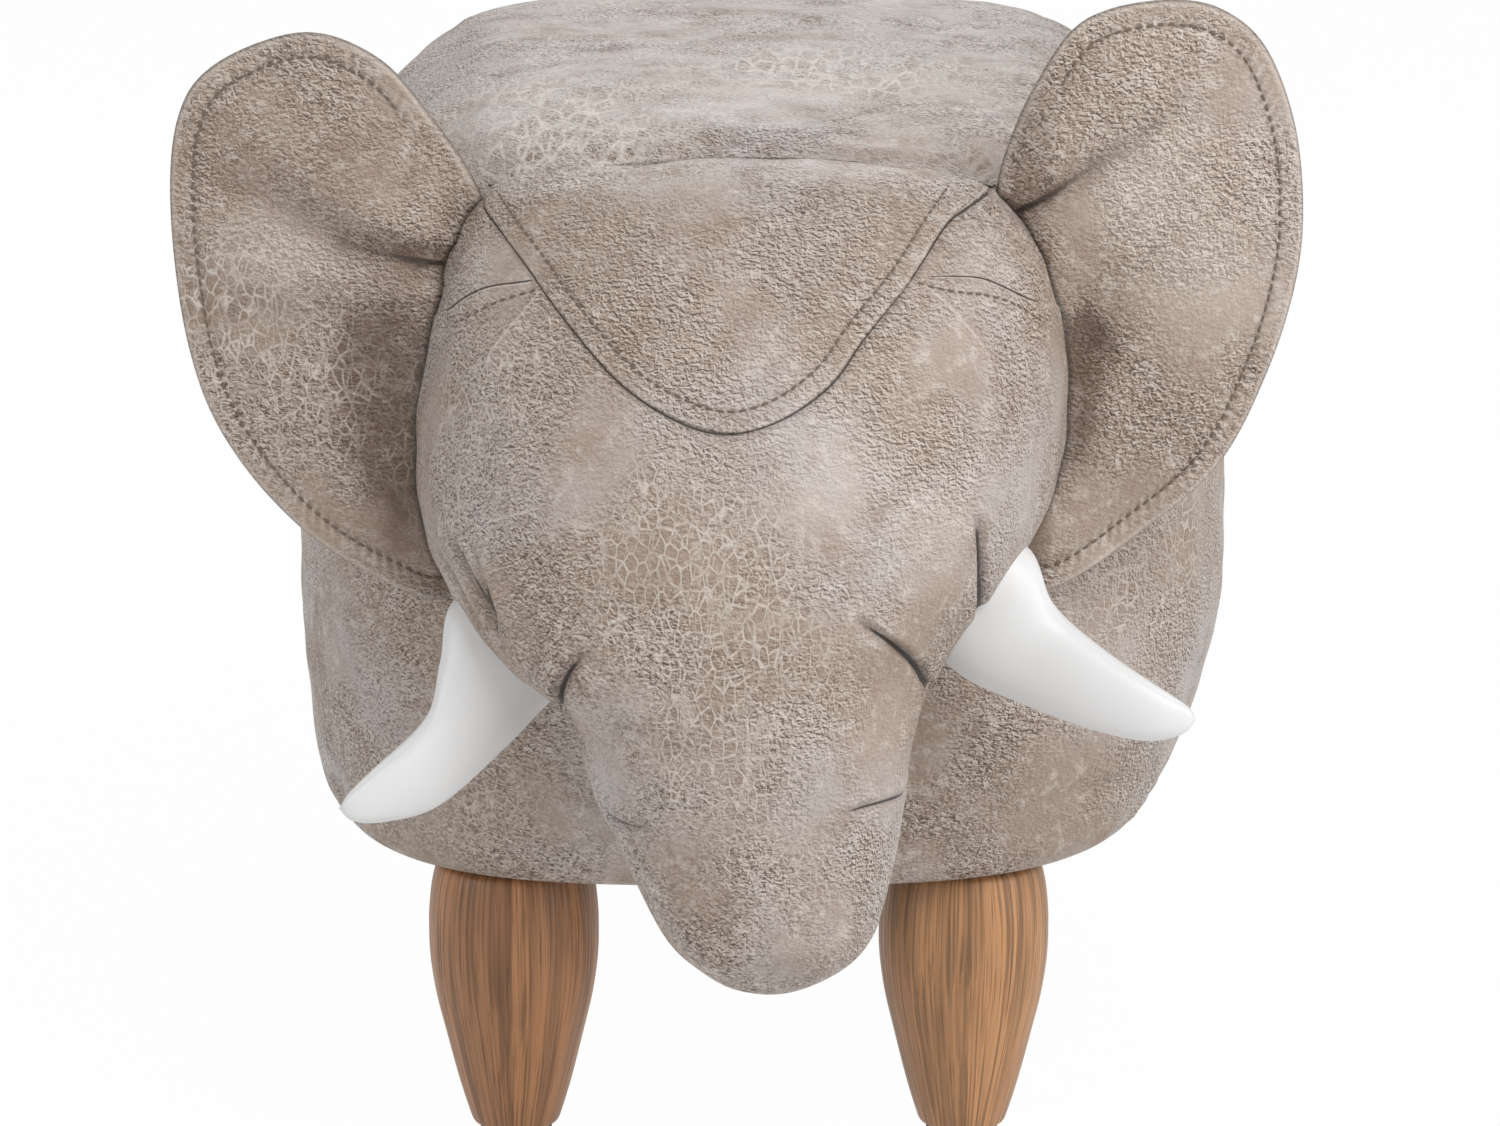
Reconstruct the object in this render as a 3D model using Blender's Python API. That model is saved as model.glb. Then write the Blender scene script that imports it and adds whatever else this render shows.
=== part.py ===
"""Elephant storage pouf: a padded stool with a hinged seat over a wooden storage tub.

Run with: blender --background --python part.py
Metres, +Z up. The elephant faces -Y and stands on z = 0. Left and right are as seen from the front.
"""

import math

import bmesh
import bpy
from mathutils import Matrix, Vector

# Clearances
GAP = 0.0003  # between pieces that lie against each other
PATCH_SEAT = 0.0008  # between the lapped forehead panel and the head's cover
KNUCKLE_CLEARANCE = 0.0005  # between a hinge knuckle and the cover in front of it

# Legs and what fastens them
GLIDE_THICKNESS = 0.0025
GLIDE_RADIUS = 0.0128
LEG_HEIGHT = 0.102  # floor to the top of a leg
LEG_FOOT_RADIUS = 0.0156
LEG_BELLY_RADIUS = 0.0302
LEG_TOP_RADIUS = 0.0272
LEG_BELLY_HEIGHT = 0.070  # the widest place above the floor
LEG_EDGE = 0.003  # rounding of the foot's rim
LEG_SIDE_INSET = 0.068  # a leg's axis in from the body's lower side edge
LEG_END_INSET = 0.072  # a leg's axis in from the body's front or rear end
BOLT_RADIUS = 0.004
BOLT_DEPTH = 0.030  # length of the bolt inside a leg
NUT_BARREL_RADIUS = 0.0052
NUT_FLANGE_RADIUS = 0.011
NUT_FLANGE_THICKNESS = 0.0015

# Covers, sheets and boards
COVER_THICKNESS = 0.0015
DUST_SHEET_THICKNESS = 0.001
DUST_SHEET_INSET = 0.010  # its edge behind the body's lower edge
LINING_THICKNESS = 0.0015
PLATE_THICKNESS = 0.015
WALL_THICKNESS = 0.012
WALL_HEIGHT = 0.1413
LID_BOARD_THICKNESS = 0.012
HEM_WIDTH = 0.016  # cover turned under the body and under the seat
EDGE_ROUND = 0.004  # rounding of a cover where it turns under
BOARD_INSET = 0.0075  # a board's edge behind the outside of the cover

# Padded body
BODY_LENGTH = 0.420
BODY_LEFT = 0.160  # fullest place of the left flank, from the middle
BODY_RIGHT = 0.177  # the right flank is stuffed fuller
BODY_BOTTOM_WIDTH = 0.296
FRONT_TUCK = 0.029  # how far the front draws in at the bottom
REAR_TUCK = 0.012
RIM_TUCK = 0.004  # how far all sides draw in at the rim
BULGE_BELOW_RIM = 0.052  # the fullest line, down from the rim
BULGE_POWER = 2.4
FRONT_SQUARENESS = 3.3  # exponent of the outline seen from above
REAR_SQUARENESS = 4.5
SIDE_PADDING = 0.037
CORNER_PADDING = 0.010  # least foam over the tub's corners

# Seat on the lid
SEAT_HEIGHT = 0.094
SEAT_CROWN = 0.007
SEAT_ROLL = 0.060  # depth of the rounded edge at the sides and rear
SEAT_FRONT_ROLL = 0.045

# Hinges
HINGE_SPACING = 0.120
LEAF_WIDTH = 0.040
LEAF_LENGTH = 0.045
LEAF_THICKNESS = 0.0016
PIN_RADIUS = 0.0015
KNUCKLE_RADIUS = 0.0035
BUMPER_RADIUS = 0.005
BUMPER_SPACING = 0.150

# Head and trunk
HEAD_WIDTH = 0.220
HEAD_DEPTH = 0.112
HEAD_TOP_Z = 0.371
HEAD_WIDEST_Z = 0.276
RIDGE_WIDTH = 0.156
RIDGE_DEPTH = 0.018
RIDGE_SAG = 0.010  # the ridge drops this much towards its ends
HEAD_SQUARENESS = 2.3
HEAD_ROUNDING = 1.6  # exponent of the curve up to the ridge
CHEEK_ROUNDING = 3.2  # exponent of the curve down to the trunk
TRUNK_TOP_Z = 0.200  # where the stuffed trunk begins under the head
TRUNK_ROOT_WIDTH = 0.129
TRUNK_ROOT_FRONT = 0.107  # from the face back to the trunk's widest line
TRUNK_ROOT_BACK = 0.004
TRUNK_TIP_WIDTH = 0.068
TRUNK_TIP_FRONT = 0.032
TRUNK_TIP_BACK = 0.030
TRUNK_TIP_Z = 0.107
TRUNK_TIP_ROUND = 0.022  # height of the rounded end
TRUNK_SETBACK = 0.010  # how far the tip lies behind the fullest part of the face
TRUNK_LEAN = 0.0095  # drift of the tip to the right
PATCH_WIDTH = 0.158
PATCH_HEIGHT = 0.072
PATCH_BELOW_RIDGE = 0.004  # the panel's upper edge, down from the ridge
PATCH_POINT_POWER = 0.55

# Ears
EAR_DEPTH_AT_ROOT = 0.011  # middle of an ear in front of the head's back
EAR_SWEEP = 0.20  # backward slope, per metre outwards
EAR_PUFF = 0.006
EAR_PUFF_POWER = 0.7  # how soon an ear fills out behind its seam
EAR_EDGE = 0.005
EAR_LIFT = 0.0035  # the right ear sits this much higher, the left one lower
EAR_REACH = 0.078  # out from the head's side
EAR_TUCK = 0.034  # root behind the head's side, before it is cut
EAR_RISE = 0.1385  # up from the head's widest place
EAR_DROP = 0.0585  # down from the head's widest place
EAR_CENTRE = (0.26, 0.22)
# Outline as shares of the reach or the tuck, and of the rise or the drop.
EAR_OUTLINE = (
    (-0.82, 0.53),
    (-0.18, 0.87),
    (0.44, 1.0),
    (0.89, 0.84),
    (1.0, 0.54),
    (0.87, 0.10),
    (0.47, -0.52),
    (-0.35, -1.0),
    (-1.0, 0.0),
)

# Tusks
TUSK_LENGTH = 0.074
TUSK_ROOT_RADIUS = 0.0235
TUSK_TIP_RADIUS = 0.0060
TUSK_FLATNESS = 0.68  # thickness over height
TUSK_TAPER = 1.1  # exponent of the narrowing
TUSK_ROOT_SHARE = 0.35  # length that runs into the head before it is cut
TUSK_BLUNT_SHARE = 0.1  # length of the rounded tip
TUSK_SAG = 0.009  # how far the curve hangs below a straight line
TUSK_FORWARD = 0.020  # how far the tip comes forward
TUSK_SEAT_OUT = 0.0795  # root from the middle
TUSK_SEAT_DEPTH = 0.056  # root in front of the head's back
LEFT_TUSK_Z = 0.2165
RIGHT_TUSK_Z = 0.2305
LEFT_TUSK_DROOP = 47  # degrees below level
RIGHT_TUSK_DROOP = 28

# Tail
TAIL_RADIUS = 0.007
TAIL_END_RADIUS = 0.005
TAIL_EDGE = 0.0015  # rounding of the tail's upper end
TAIL_LENGTH = 0.100
TAIL_ABOVE_BULGE = 0.025
TUFT_RADIUS = 0.011
TUFT_LENGTH = 0.045
TUFT_SWELLS = ((0.25, 0.8), (0.5, 1.0), (0.75, 0.7))  # share of the length, share of the radius

# Facets
AROUND_BODY = 48
AROUND_LEG = 20
AROUND_SMALL = 10
AROUND_TRUNK = 24
AROUND_TUSK = 16
ACROSS_HEAD = 20

# Heights that follow
DUST_SHEET_Z = LEG_HEIGHT + GAP
COVER_Z = DUST_SHEET_Z + DUST_SHEET_THICKNESS + GAP
PLATE_Z = COVER_Z + COVER_THICKNESS + GAP
PLATE_TOP_Z = PLATE_Z + PLATE_THICKNESS
WALL_Z = PLATE_TOP_Z + GAP
RIM_Z = WALL_Z + WALL_HEIGHT
BULGE_Z = RIM_Z - BULGE_BELOW_RIM
PIN_Z = RIM_Z + GAP + LEAF_THICKNESS + GAP / 2
LID_Z = PIN_Z + GAP / 2 + LEAF_THICKNESS + GAP
LID_BOARD_Z = LID_Z + COVER_THICKNESS + GAP
SEAT_FOAM_Z = LID_BOARD_Z + LID_BOARD_THICKNESS + GAP

PAD_LEVELS = [WALL_Z + WALL_HEIGHT * step / 6 for step in range(7)]

# Places along the length that follow
TAIL_REACH = GAP + TAIL_RADIUS + TUFT_RADIUS
BODY_Y = (GAP + HEAD_DEPTH - TAIL_REACH) / 2
HEAD_BACK_Y = BODY_Y - BODY_LENGTH / 2 - GAP
PIN_Y = BODY_Y + BODY_LENGTH / 2 - RIM_TUCK + KNUCKLE_CLEARANCE + KNUCKLE_RADIUS


def remove_everything():
    for old in list(bpy.data.objects):
        bpy.data.objects.remove(old, do_unlink=True)


def finish(name, red, green, blue, roughness, metallic=0.0):
    """A Principled material; the colour is given as display values from 0 to 255."""
    material = bpy.data.materials.new(name)
    material.use_nodes = True
    shader = material.node_tree.nodes["Principled BSDF"]
    linear = [(value / 255) ** 2.2 for value in (red, green, blue)]
    shader.inputs["Base Color"].default_value = (*linear, 1)
    shader.inputs["Roughness"].default_value = roughness
    shader.inputs["Metallic"].default_value = metallic
    return material


def add_piece(name, form, material, parent=None, place=(0, 0, 0)):
    """Turn a bmesh into a named object and hang it on its parent empty."""
    bmesh.ops.remove_doubles(form, verts=form.verts, dist=1e-6)
    bmesh.ops.recalc_face_normals(form, faces=form.faces)
    mesh = bpy.data.meshes.new(name)
    form.to_mesh(mesh)
    form.free()
    return add_copy(name, mesh, material, parent, place)


def add_copy(name, mesh, material, parent=None, place=(0, 0, 0)):
    """One object that shows a mesh, with its own material."""
    mesh.shade_smooth()
    mesh.set_sharp_from_angle(angle=math.radians(35))
    if not mesh.materials:
        mesh.materials.append(material)
    piece = bpy.data.objects.new(name, mesh)
    piece.location = place
    bpy.context.scene.collection.objects.link(piece)
    if parent:
        piece.parent = parent
        piece.matrix_parent_inverse = Matrix.Translation(-parent.location)
    return piece


def add_pivot(name, place):
    pivot = bpy.data.objects.new(name, None)
    pivot.location = place
    bpy.context.scene.collection.objects.link(pivot)
    return pivot


def add_cutter(name, form, place=(0, 0, 0)):
    cutter = add_piece(name, form, None, place=place)
    cutter.hide_render = True
    cutter.display_type = "WIRE"
    return cutter


def cut(piece, cutter):
    modifier = piece.modifiers.new("cut by " + cutter.name, "BOOLEAN")
    modifier.operation = "DIFFERENCE"
    modifier.solver = "EXACT"
    modifier.object = cutter


def spread(first, last, count):
    """Evenly spaced numbers from first to last, with count steps."""
    return [first + (last - first) * i / count for i in range(count + 1)]


def loft(rings):
    """A closed skin through rings of points; a ring of one point closes that end."""
    form = bmesh.new()
    rows = [[form.verts.new(point) for point in ring] for ring in rings]
    for low, high in zip(rows, rows[1:]):
        for i in range(max(len(low), len(high))):
            corners = [low[i % len(low)], low[(i + 1) % len(low)]]
            corners += [high[(i + 1) % len(high)], high[i % len(high)]]
            form.faces.new(list(dict.fromkeys(corners)))
    for row in (rows[0], rows[-1]):
        if len(row) > 2:
            form.faces.new(row)
    return form


def turned(profile, sides):
    """A shape turned about Z from (radius, height) points; points on the axis close it."""
    angles = [2 * math.pi * i / sides for i in range(sides)]
    rings = []
    for radius, height in profile:
        around = angles if radius > 0 else angles[:1]
        rings.append([(radius * math.cos(a), radius * math.sin(a), height) for a in around])
    return loft(rings)


def turned_ring(profile, sides):
    """A ring turned about Z from a closed profile that stays off the axis."""
    form = bmesh.new()
    rows = []
    for i in range(sides):
        angle = 2 * math.pi * i / sides
        rows.append([form.verts.new((r * math.cos(angle), r * math.sin(angle), z)) for r, z in profile])
    for i, row in enumerate(rows):
        following = rows[(i + 1) % sides]
        for j in range(len(row)):
            k = (j + 1) % len(row)
            form.faces.new((row[j], row[k], following[k], following[j]))
    return form


def box(low, high):
    form = bmesh.new()
    middle = [(a + b) / 2 for a, b in zip(low, high)]
    size = [b - a for a, b in zip(low, high)]
    bmesh.ops.create_cube(form, size=1, matrix=Matrix.LocRotScale(middle, None, size))
    return form


def slab(outline, bottom, top):
    return loft([[(x, y, z) for x, y in outline] for z in (bottom, top)])


# The body's outline


def body_sides(z):
    """Reach to the left, right, front and rear of the body's middle at a height."""
    fullest = (BODY_LEFT, BODY_RIGHT, BODY_LENGTH / 2, BODY_LENGTH / 2)
    if z >= BULGE_Z:
        share = min(1, (z - BULGE_Z) / BULGE_BELOW_RIM) ** 2
        return [reach - RIM_TUCK * share for reach in fullest]
    half = BODY_BOTTOM_WIDTH / 2
    lowest = (half, half, BODY_LENGTH / 2 - FRONT_TUCK, BODY_LENGTH / 2 - REAR_TUCK)
    share = ((BULGE_Z - z) / (BULGE_Z - COVER_Z)) ** BULGE_POWER
    return [full + (low - full) * share for full, low in zip(fullest, lowest)]


def outline_corner(number, sides):
    """One corner of the outline seen from above, counted from the front, about the body's middle."""
    angle = 2 * math.pi * number / AROUND_BODY - math.pi / 2
    left, right, front, rear = sides
    c, s = math.cos(angle), math.sin(angle)
    across = right if c > 0 else left
    along, power = (front, FRONT_SQUARENESS) if s < 0 else (rear, REAR_SQUARENESS)
    radius = ((abs(c) / across) ** power + (abs(s) / along) ** power) ** (-1 / power)
    return Vector((radius * c, radius * s))


def around(angle, sides, inset=0):
    """The outline's point in a direction from the body's middle, on the straight between corners."""
    sides = [reach - inset for reach in sides]
    number = math.floor((angle + math.pi / 2) * AROUND_BODY / (2 * math.pi) + 1e-9)
    first, second = outline_corner(number, sides), outline_corner(number + 1, sides)
    way = Vector((math.cos(angle), math.sin(angle)))
    straight = second - first
    distance = first.cross(straight) / way.cross(straight)
    return distance * way.x, BODY_Y + distance * way.y


def whole_outline(sides, inset):
    sides = [reach - inset for reach in sides]
    corners = [outline_corner(number, sides) for number in range(AROUND_BODY)]
    return [(corner.x, BODY_Y + corner.y) for corner in corners]


def reach_at(x, sides, power, along):
    """How far the outline reaches along Y at a distance x from the middle."""
    across = min(sides[0], sides[1])
    return along * (1 - (x / across) ** power) ** (1 / power)


# The storage tub

TUB_HALF_WIDTH = min(BODY_LEFT, BODY_RIGHT, BODY_BOTTOM_WIDTH / 2) - SIDE_PADDING
TUB_INNER_HALF_WIDTH = TUB_HALF_WIDTH - WALL_THICKNESS


def tub_ends():
    """Front and rear faces of the tub: as far out as its corners keep their foam."""
    fronts, rears = [], []
    for z in PAD_LEVELS:
        sides = [reach - CORNER_PADDING for reach in body_sides(z)]
        fronts.append(reach_at(TUB_HALF_WIDTH, sides, FRONT_SQUARENESS, sides[2]))
        rears.append(reach_at(TUB_HALF_WIDTH, sides, REAR_SQUARENESS, sides[3]))
    return BODY_Y - min(fronts), BODY_Y + min(rears)


TUB_FRONT_Y, TUB_REAR_Y = tub_ends()


def make_tub(parent, plywood, lining_cloth, dust_cloth):
    """Base plate, four walls, the lining inside and the dust sheet below."""
    bottom_sides = body_sides(PLATE_Z)
    plate = slab(whole_outline(bottom_sides, BOARD_INSET), PLATE_Z, PLATE_TOP_Z)
    plate_piece = add_piece("base_plate", plate, plywood, parent)
    sheet_outline = whole_outline(bottom_sides, DUST_SHEET_INSET)
    sheet = slab(sheet_outline, DUST_SHEET_Z, DUST_SHEET_Z + DUST_SHEET_THICKNESS)
    sheet_piece = add_piece("dust_sheet", sheet, dust_cloth, parent)
    hole = NUT_BARREL_RADIUS + GAP
    recess = NUT_FLANGE_RADIUS + GAP
    recess_z = PLATE_TOP_Z - NUT_FLANGE_THICKNESS - 2 * GAP
    profile = [(0, LEG_HEIGHT), (hole, LEG_HEIGHT), (hole, recess_z), (recess, recess_z)]
    profile += [(recess, PLATE_TOP_Z + GAP), (0, PLATE_TOP_Z + GAP)]
    for name, x, y in leg_places():
        cutter = add_cutter(name + "_hole", turned(profile, AROUND_SMALL), (x, y, 0))
        cut(plate_piece, cutter)
        cut(sheet_piece, cutter)

    outer, inner = TUB_HALF_WIDTH, TUB_INNER_HALF_WIDTH
    for name, side in (("left_wall", -1), ("right_wall", 1)):
        low_x, high_x = sorted((side * inner, side * outer))
        wall = box((low_x, TUB_FRONT_Y, WALL_Z), (high_x, TUB_REAR_Y, RIM_Z))
        add_piece(name, wall, plywood, parent)
    for name, low_y in (("front_wall", TUB_FRONT_Y), ("rear_wall", TUB_REAR_Y - WALL_THICKNESS)):
        low = (GAP - inner, low_y, WALL_Z)
        wall = box(low, (inner - GAP, low_y + WALL_THICKNESS, RIM_Z))
        add_piece(name, wall, plywood, parent)

    low = (GAP - inner, TUB_FRONT_Y + WALL_THICKNESS + GAP, WALL_Z)
    lining = box(low, (inner - GAP, TUB_REAR_Y - WALL_THICKNESS - GAP, RIM_Z))
    top = max(lining.faces, key=lambda face: face.calc_center_median().z)
    bmesh.ops.inset_individual(lining, faces=[top], thickness=LINING_THICKNESS, use_even_offset=True)
    moved = bmesh.ops.extrude_face_region(lining, geom=[top])["geom"]
    floor = [item for item in moved if isinstance(item, bmesh.types.BMVert)]
    bmesh.ops.translate(lining, verts=floor, vec=(0, 0, LINING_THICKNESS - WALL_HEIGHT))
    bmesh.ops.delete(lining, geom=[top], context="FACES_ONLY")
    add_piece("tub_lining", lining, lining_cloth, parent)


def make_pads(parent, foam):
    """Foam between the tub's walls and the cover, one pad to a wall, meeting on the corners."""
    front, rear = TUB_FRONT_Y - BODY_Y, TUB_REAR_Y - BODY_Y
    corner = math.atan2(rear, TUB_HALF_WIDTH)
    low_corner = math.atan2(front, TUB_HALF_WIDTH)
    inset = COVER_THICKNESS + GAP
    parting = GAP / TUB_HALF_WIDTH
    reach_x, reach_front, reach_rear = TUB_HALF_WIDTH + GAP, GAP - front, rear + GAP
    pads = (
        ("right_pad", low_corner, corner, lambda c, s: reach_x / c),
        ("rear_pad", corner, math.pi - corner, lambda c, s: reach_rear / s),
        ("left_pad", math.pi - corner, math.pi - low_corner, lambda c, s: -reach_x / c),
        ("front_pad", -math.pi - low_corner, low_corner, lambda c, s: -reach_front / s),
    )
    for name, start, end, wall_distance in pads:
        angles = spread(start + parting, end - parting, 10)
        rings = []
        for z in PAD_LEVELS:
            ring = [(*around(angle, body_sides(z), inset), z) for angle in angles]
            for angle in reversed(angles):
                c, s = math.cos(angle), math.sin(angle)
                distance = wall_distance(c, s)
                ring.append((distance * c, BODY_Y + distance * s, z))
            rings.append(ring)
        add_piece(name, loft(rings), foam, parent)


def make_body_covers(parent, hide):
    """Left and right halves of the body's cover, sewn down the front and the rear."""
    levels = [COVER_Z + EDGE_ROUND] + PAD_LEVELS
    outside = [(HEM_WIDTH, COVER_Z), (EDGE_ROUND, COVER_Z)] + [(0, z) for z in levels]
    t = COVER_THICKNESS
    inside = [(HEM_WIDTH, COVER_Z + t), (EDGE_ROUND + t, COVER_Z + t)] + [(t, z) for z in levels]
    parting = GAP / BODY_LENGTH
    for name, start in (("right_body_cover", -math.pi / 2), ("left_body_cover", math.pi / 2)):
        sections = []
        for angle in spread(start + parting, start + math.pi - parting, AROUND_BODY // 2):
            path = outside + inside[::-1]
            sections.append([(*around(angle, body_sides(z), inset), z) for inset, z in path])
        add_piece(name, loft(sections), hide, parent)


# The seat on the lid


def seat_sides(turn):
    """Reach of the seat at a turn of its rounded edge, from 0 upright to 90 degrees level."""
    roll = 1 - math.cos(turn)
    rolls = (SEAT_ROLL, SEAT_ROLL, SEAT_FRONT_ROLL, SEAT_ROLL)
    return [reach - depth * roll for reach, depth in zip(body_sides(RIM_Z), rolls)]


def seat_dome(depth):
    """Rings over the rounded edge and the crown, at a depth under the cover's outside."""
    base = LID_Z + EDGE_ROUND
    rise = SEAT_HEIGHT - EDGE_ROUND
    rings = []
    for turn in spread(0, math.pi / 2, 7):
        z = base + (rise - depth) * math.sin(turn)
        rings.append([(*point, z) for point in whole_outline(seat_sides(turn), depth)])
    edge = rings[-1]
    for share in (0.72, 0.4):
        z = base + rise - depth + SEAT_CROWN * (1 - share**2)
        rings.append([(x * share, BODY_Y + (y - BODY_Y) * share, z) for x, y, _ in edge])
    rings.append([(0, BODY_Y, base + rise - depth + SEAT_CROWN)])
    return rings


def sliced(rings, bottom):
    """The rings above a height, starting with a ring cut level at that height."""
    above = [ring for ring in rings if ring[0][2] > bottom]
    below = rings[len(rings) - len(above) - 1]
    share = (bottom - below[0][2]) / (above[0][0][2] - below[0][2])
    level = [Vector(low).lerp(Vector(high), share) for low, high in zip(below, above[0])]
    return [level] + above


def make_lid(pivot, plywood, foam, hide, lining_cloth):
    """Board, foam, cover and lining that swing up together."""
    rim = body_sides(RIM_Z)
    board = slab(whole_outline(rim, BOARD_INSET), LID_BOARD_Z, LID_BOARD_Z + LID_BOARD_THICKNESS)
    add_piece("lid_board", board, plywood, pivot)

    cushion = sliced(seat_dome(COVER_THICKNESS + 2 * GAP), SEAT_FOAM_Z)
    add_piece("seat_foam", loft(cushion), foam, pivot)

    t = COVER_THICKNESS
    hem = [(EDGE_ROUND + t, LID_Z + t), (HEM_WIDTH, LID_Z + t), (HEM_WIDTH, LID_Z), (EDGE_ROUND, LID_Z)]
    turned_under = [[(x, y, z) for x, y in whole_outline(rim, inset)] for inset, z in hem]
    add_piece("seat_cover", loft(seat_dome(t)[::-1] + turned_under + seat_dome(0)), hide, pivot)

    low = LID_Z + GAP
    sheet = slab(whole_outline(rim, HEM_WIDTH + GAP), low, low + COVER_THICKNESS - GAP)
    add_piece("lid_lining", sheet, lining_cloth, pivot)


# Hinges


def leaf_section(upward):
    """Side profile of a leaf with its end rolled round the pin, for the lower or upper leaf."""
    bore = PIN_RADIUS + GAP
    near, far = GAP / 2, GAP / 2 + LEAF_THICKNESS
    slit = math.pi - math.asin(2 * GAP / KNUCKLE_RADIUS)
    inner_slit = math.pi - math.asin(2 * GAP / bore)
    start = -math.pi + math.asin(far / KNUCKLE_RADIUS)
    inner_start = -math.pi + math.asin(near / bore)
    outer = [(KNUCKLE_RADIUS * math.cos(a), KNUCKLE_RADIUS * math.sin(a)) for a in spread(start, slit, 14)]
    inner = [(bore * math.cos(a), bore * math.sin(a)) for a in spread(inner_slit, inner_start, 14)]
    section = [(-LEAF_LENGTH, -far)] + outer + inner + [(-LEAF_LENGTH, -near)]
    flip = -1 if upward else 1
    return [(PIN_Y + y, PIN_Z + flip * z) for y, z in section]


def make_hinges(base, pivot, steel):
    """Two butt hinges: rolled leaves with shared knuckles, and their pins."""
    segment = LEAF_WIDTH / 3
    notch_front = PIN_Y - KNUCKLE_RADIUS - 2 * KNUCKLE_CLEARANCE
    notch_rear = PIN_Y + 2 * KNUCKLE_RADIUS
    for side, middle in (("left", -HINGE_SPACING / 2), ("right", HINGE_SPACING / 2)):
        edges = [middle + segment * (i - 1.5) for i in range(4)]
        leaves = (
            ("fixed_leaf", base, False, ((edges[1] - GAP, edges[2] + GAP),)),
            ("moving_leaf", pivot, True, ((edges[0] - GAP, edges[1]), (edges[2], edges[3] + GAP))),
        )
        for kind, parent, upward, notches in leaves:
            section = leaf_section(upward)
            form = loft([[(x, y, z) for y, z in section] for x in (edges[0], edges[3])])
            leaf = add_piece(f"{side}_hinge_{kind}", form, steel, parent)
            for i, (low_x, high_x) in enumerate(notches):
                low = (low_x, notch_front, PIN_Z - 2 * KNUCKLE_RADIUS)
                form = box(low, (high_x, notch_rear, PIN_Z + 2 * KNUCKLE_RADIUS))
                cut(leaf, add_cutter(f"{side}_{kind}_notch_{i}", form))
        angles = [2 * math.pi * i / AROUND_SMALL for i in range(AROUND_SMALL)]
        circle = [(PIN_Y + PIN_RADIUS * math.cos(a), PIN_Z + PIN_RADIUS * math.sin(a)) for a in angles]
        form = loft([[(x, y, z) for y, z in circle] for x in (edges[0] - GAP, edges[3] + GAP)])
        add_piece(f"{side}_hinge_pin", form, steel, base)


def make_bumpers(base, rubber):
    """Two buffers on the front wall that the closed lid rests on."""
    profile = [(0, RIM_Z + GAP), (BUMPER_RADIUS, RIM_Z + GAP), (BUMPER_RADIUS, LID_Z - 2 * GAP)]
    profile += [(BUMPER_RADIUS - 2 * GAP, LID_Z), (0, LID_Z)]
    y = TUB_FRONT_Y + WALL_THICKNESS / 2
    for name, x in (("left_lid_bumper", -BUMPER_SPACING / 2), ("right_lid_bumper", BUMPER_SPACING / 2)):
        add_piece(name, turned(profile, AROUND_SMALL), rubber, base, (x, y, 0))


# Legs


def leg_places():
    out_x = BODY_BOTTOM_WIDTH / 2 - LEG_SIDE_INSET
    out_y = BODY_LENGTH / 2 - LEG_END_INSET
    places = []
    for end, sign_y in (("front", -1), ("rear", 1)):
        for side, sign_x in (("left", -1), ("right", 1)):
            places.append((f"{end}_{side}", sign_x * out_x, BODY_Y + sign_y * out_y))
    return places


def leg_profile():
    """Barrel outline from the foot up, then the blind hole for the bolt."""
    foot = GLIDE_THICKNESS + GAP
    profile = [(0, foot), (LEG_FOOT_RADIUS - LEG_EDGE, foot)]
    swell = LEG_BELLY_RADIUS - LEG_FOOT_RADIUS
    for z in spread(foot + LEG_EDGE, LEG_BELLY_HEIGHT, 7):
        share = (z - foot) / (LEG_BELLY_HEIGHT - foot)
        profile.append((LEG_FOOT_RADIUS + swell * math.sin(share * math.pi / 2), z))
    draw_in = LEG_BELLY_RADIUS - LEG_TOP_RADIUS
    for share in (0.4, 0.7, 0.9, 1.0):
        radius = LEG_TOP_RADIUS + draw_in * math.sqrt(1 - share**2)
        profile.append((radius, LEG_BELLY_HEIGHT + share * (LEG_HEIGHT - LEG_BELLY_HEIGHT)))
    bore = BOLT_RADIUS + GAP
    floor = LEG_HEIGHT - BOLT_DEPTH - GAP
    return profile + [(bore, LEG_HEIGHT), (bore, floor), (0, floor)]


def make_legs(parent, oak, felt, steel):
    """Turned legs on felt glides, each held by a hanger bolt in a tee nut."""
    nut_top = PLATE_TOP_Z - GAP
    flange_z = nut_top - NUT_FLANGE_THICKNESS
    bolt_bottom = LEG_HEIGHT - BOLT_DEPTH
    glide = [(0, 0), (GLIDE_RADIUS, 0), (GLIDE_RADIUS, GLIDE_THICKNESS), (0, GLIDE_THICKNESS)]
    bolt = [(0, bolt_bottom), (BOLT_RADIUS, bolt_bottom + BOLT_RADIUS), (BOLT_RADIUS, nut_top), (0, nut_top)]
    bore = BOLT_RADIUS + GAP
    nut = [(bore, PLATE_Z), (NUT_BARREL_RADIUS, PLATE_Z), (NUT_BARREL_RADIUS, flange_z)]
    nut += [(NUT_FLANGE_RADIUS, flange_z), (NUT_FLANGE_RADIUS, nut_top), (bore, nut_top)]
    kinds = (
        ("leg", turned(leg_profile(), AROUND_LEG), oak),
        ("leg_glide", turned(glide, AROUND_LEG), felt),
        ("leg_bolt", turned(bolt, AROUND_SMALL), steel),
        ("leg_nut", turned_ring(nut, AROUND_SMALL), steel),
    )
    places = leg_places()
    for kind, form, material in kinds:
        name, x, y = places[0]
        first = add_piece(f"{name}_{kind}", form, material, parent, (x, y, 0))
        for name, x, y in places[1:]:
            add_copy(f"{name}_{kind}", first.data, material, parent, (x, y, 0))


# Head


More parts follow.
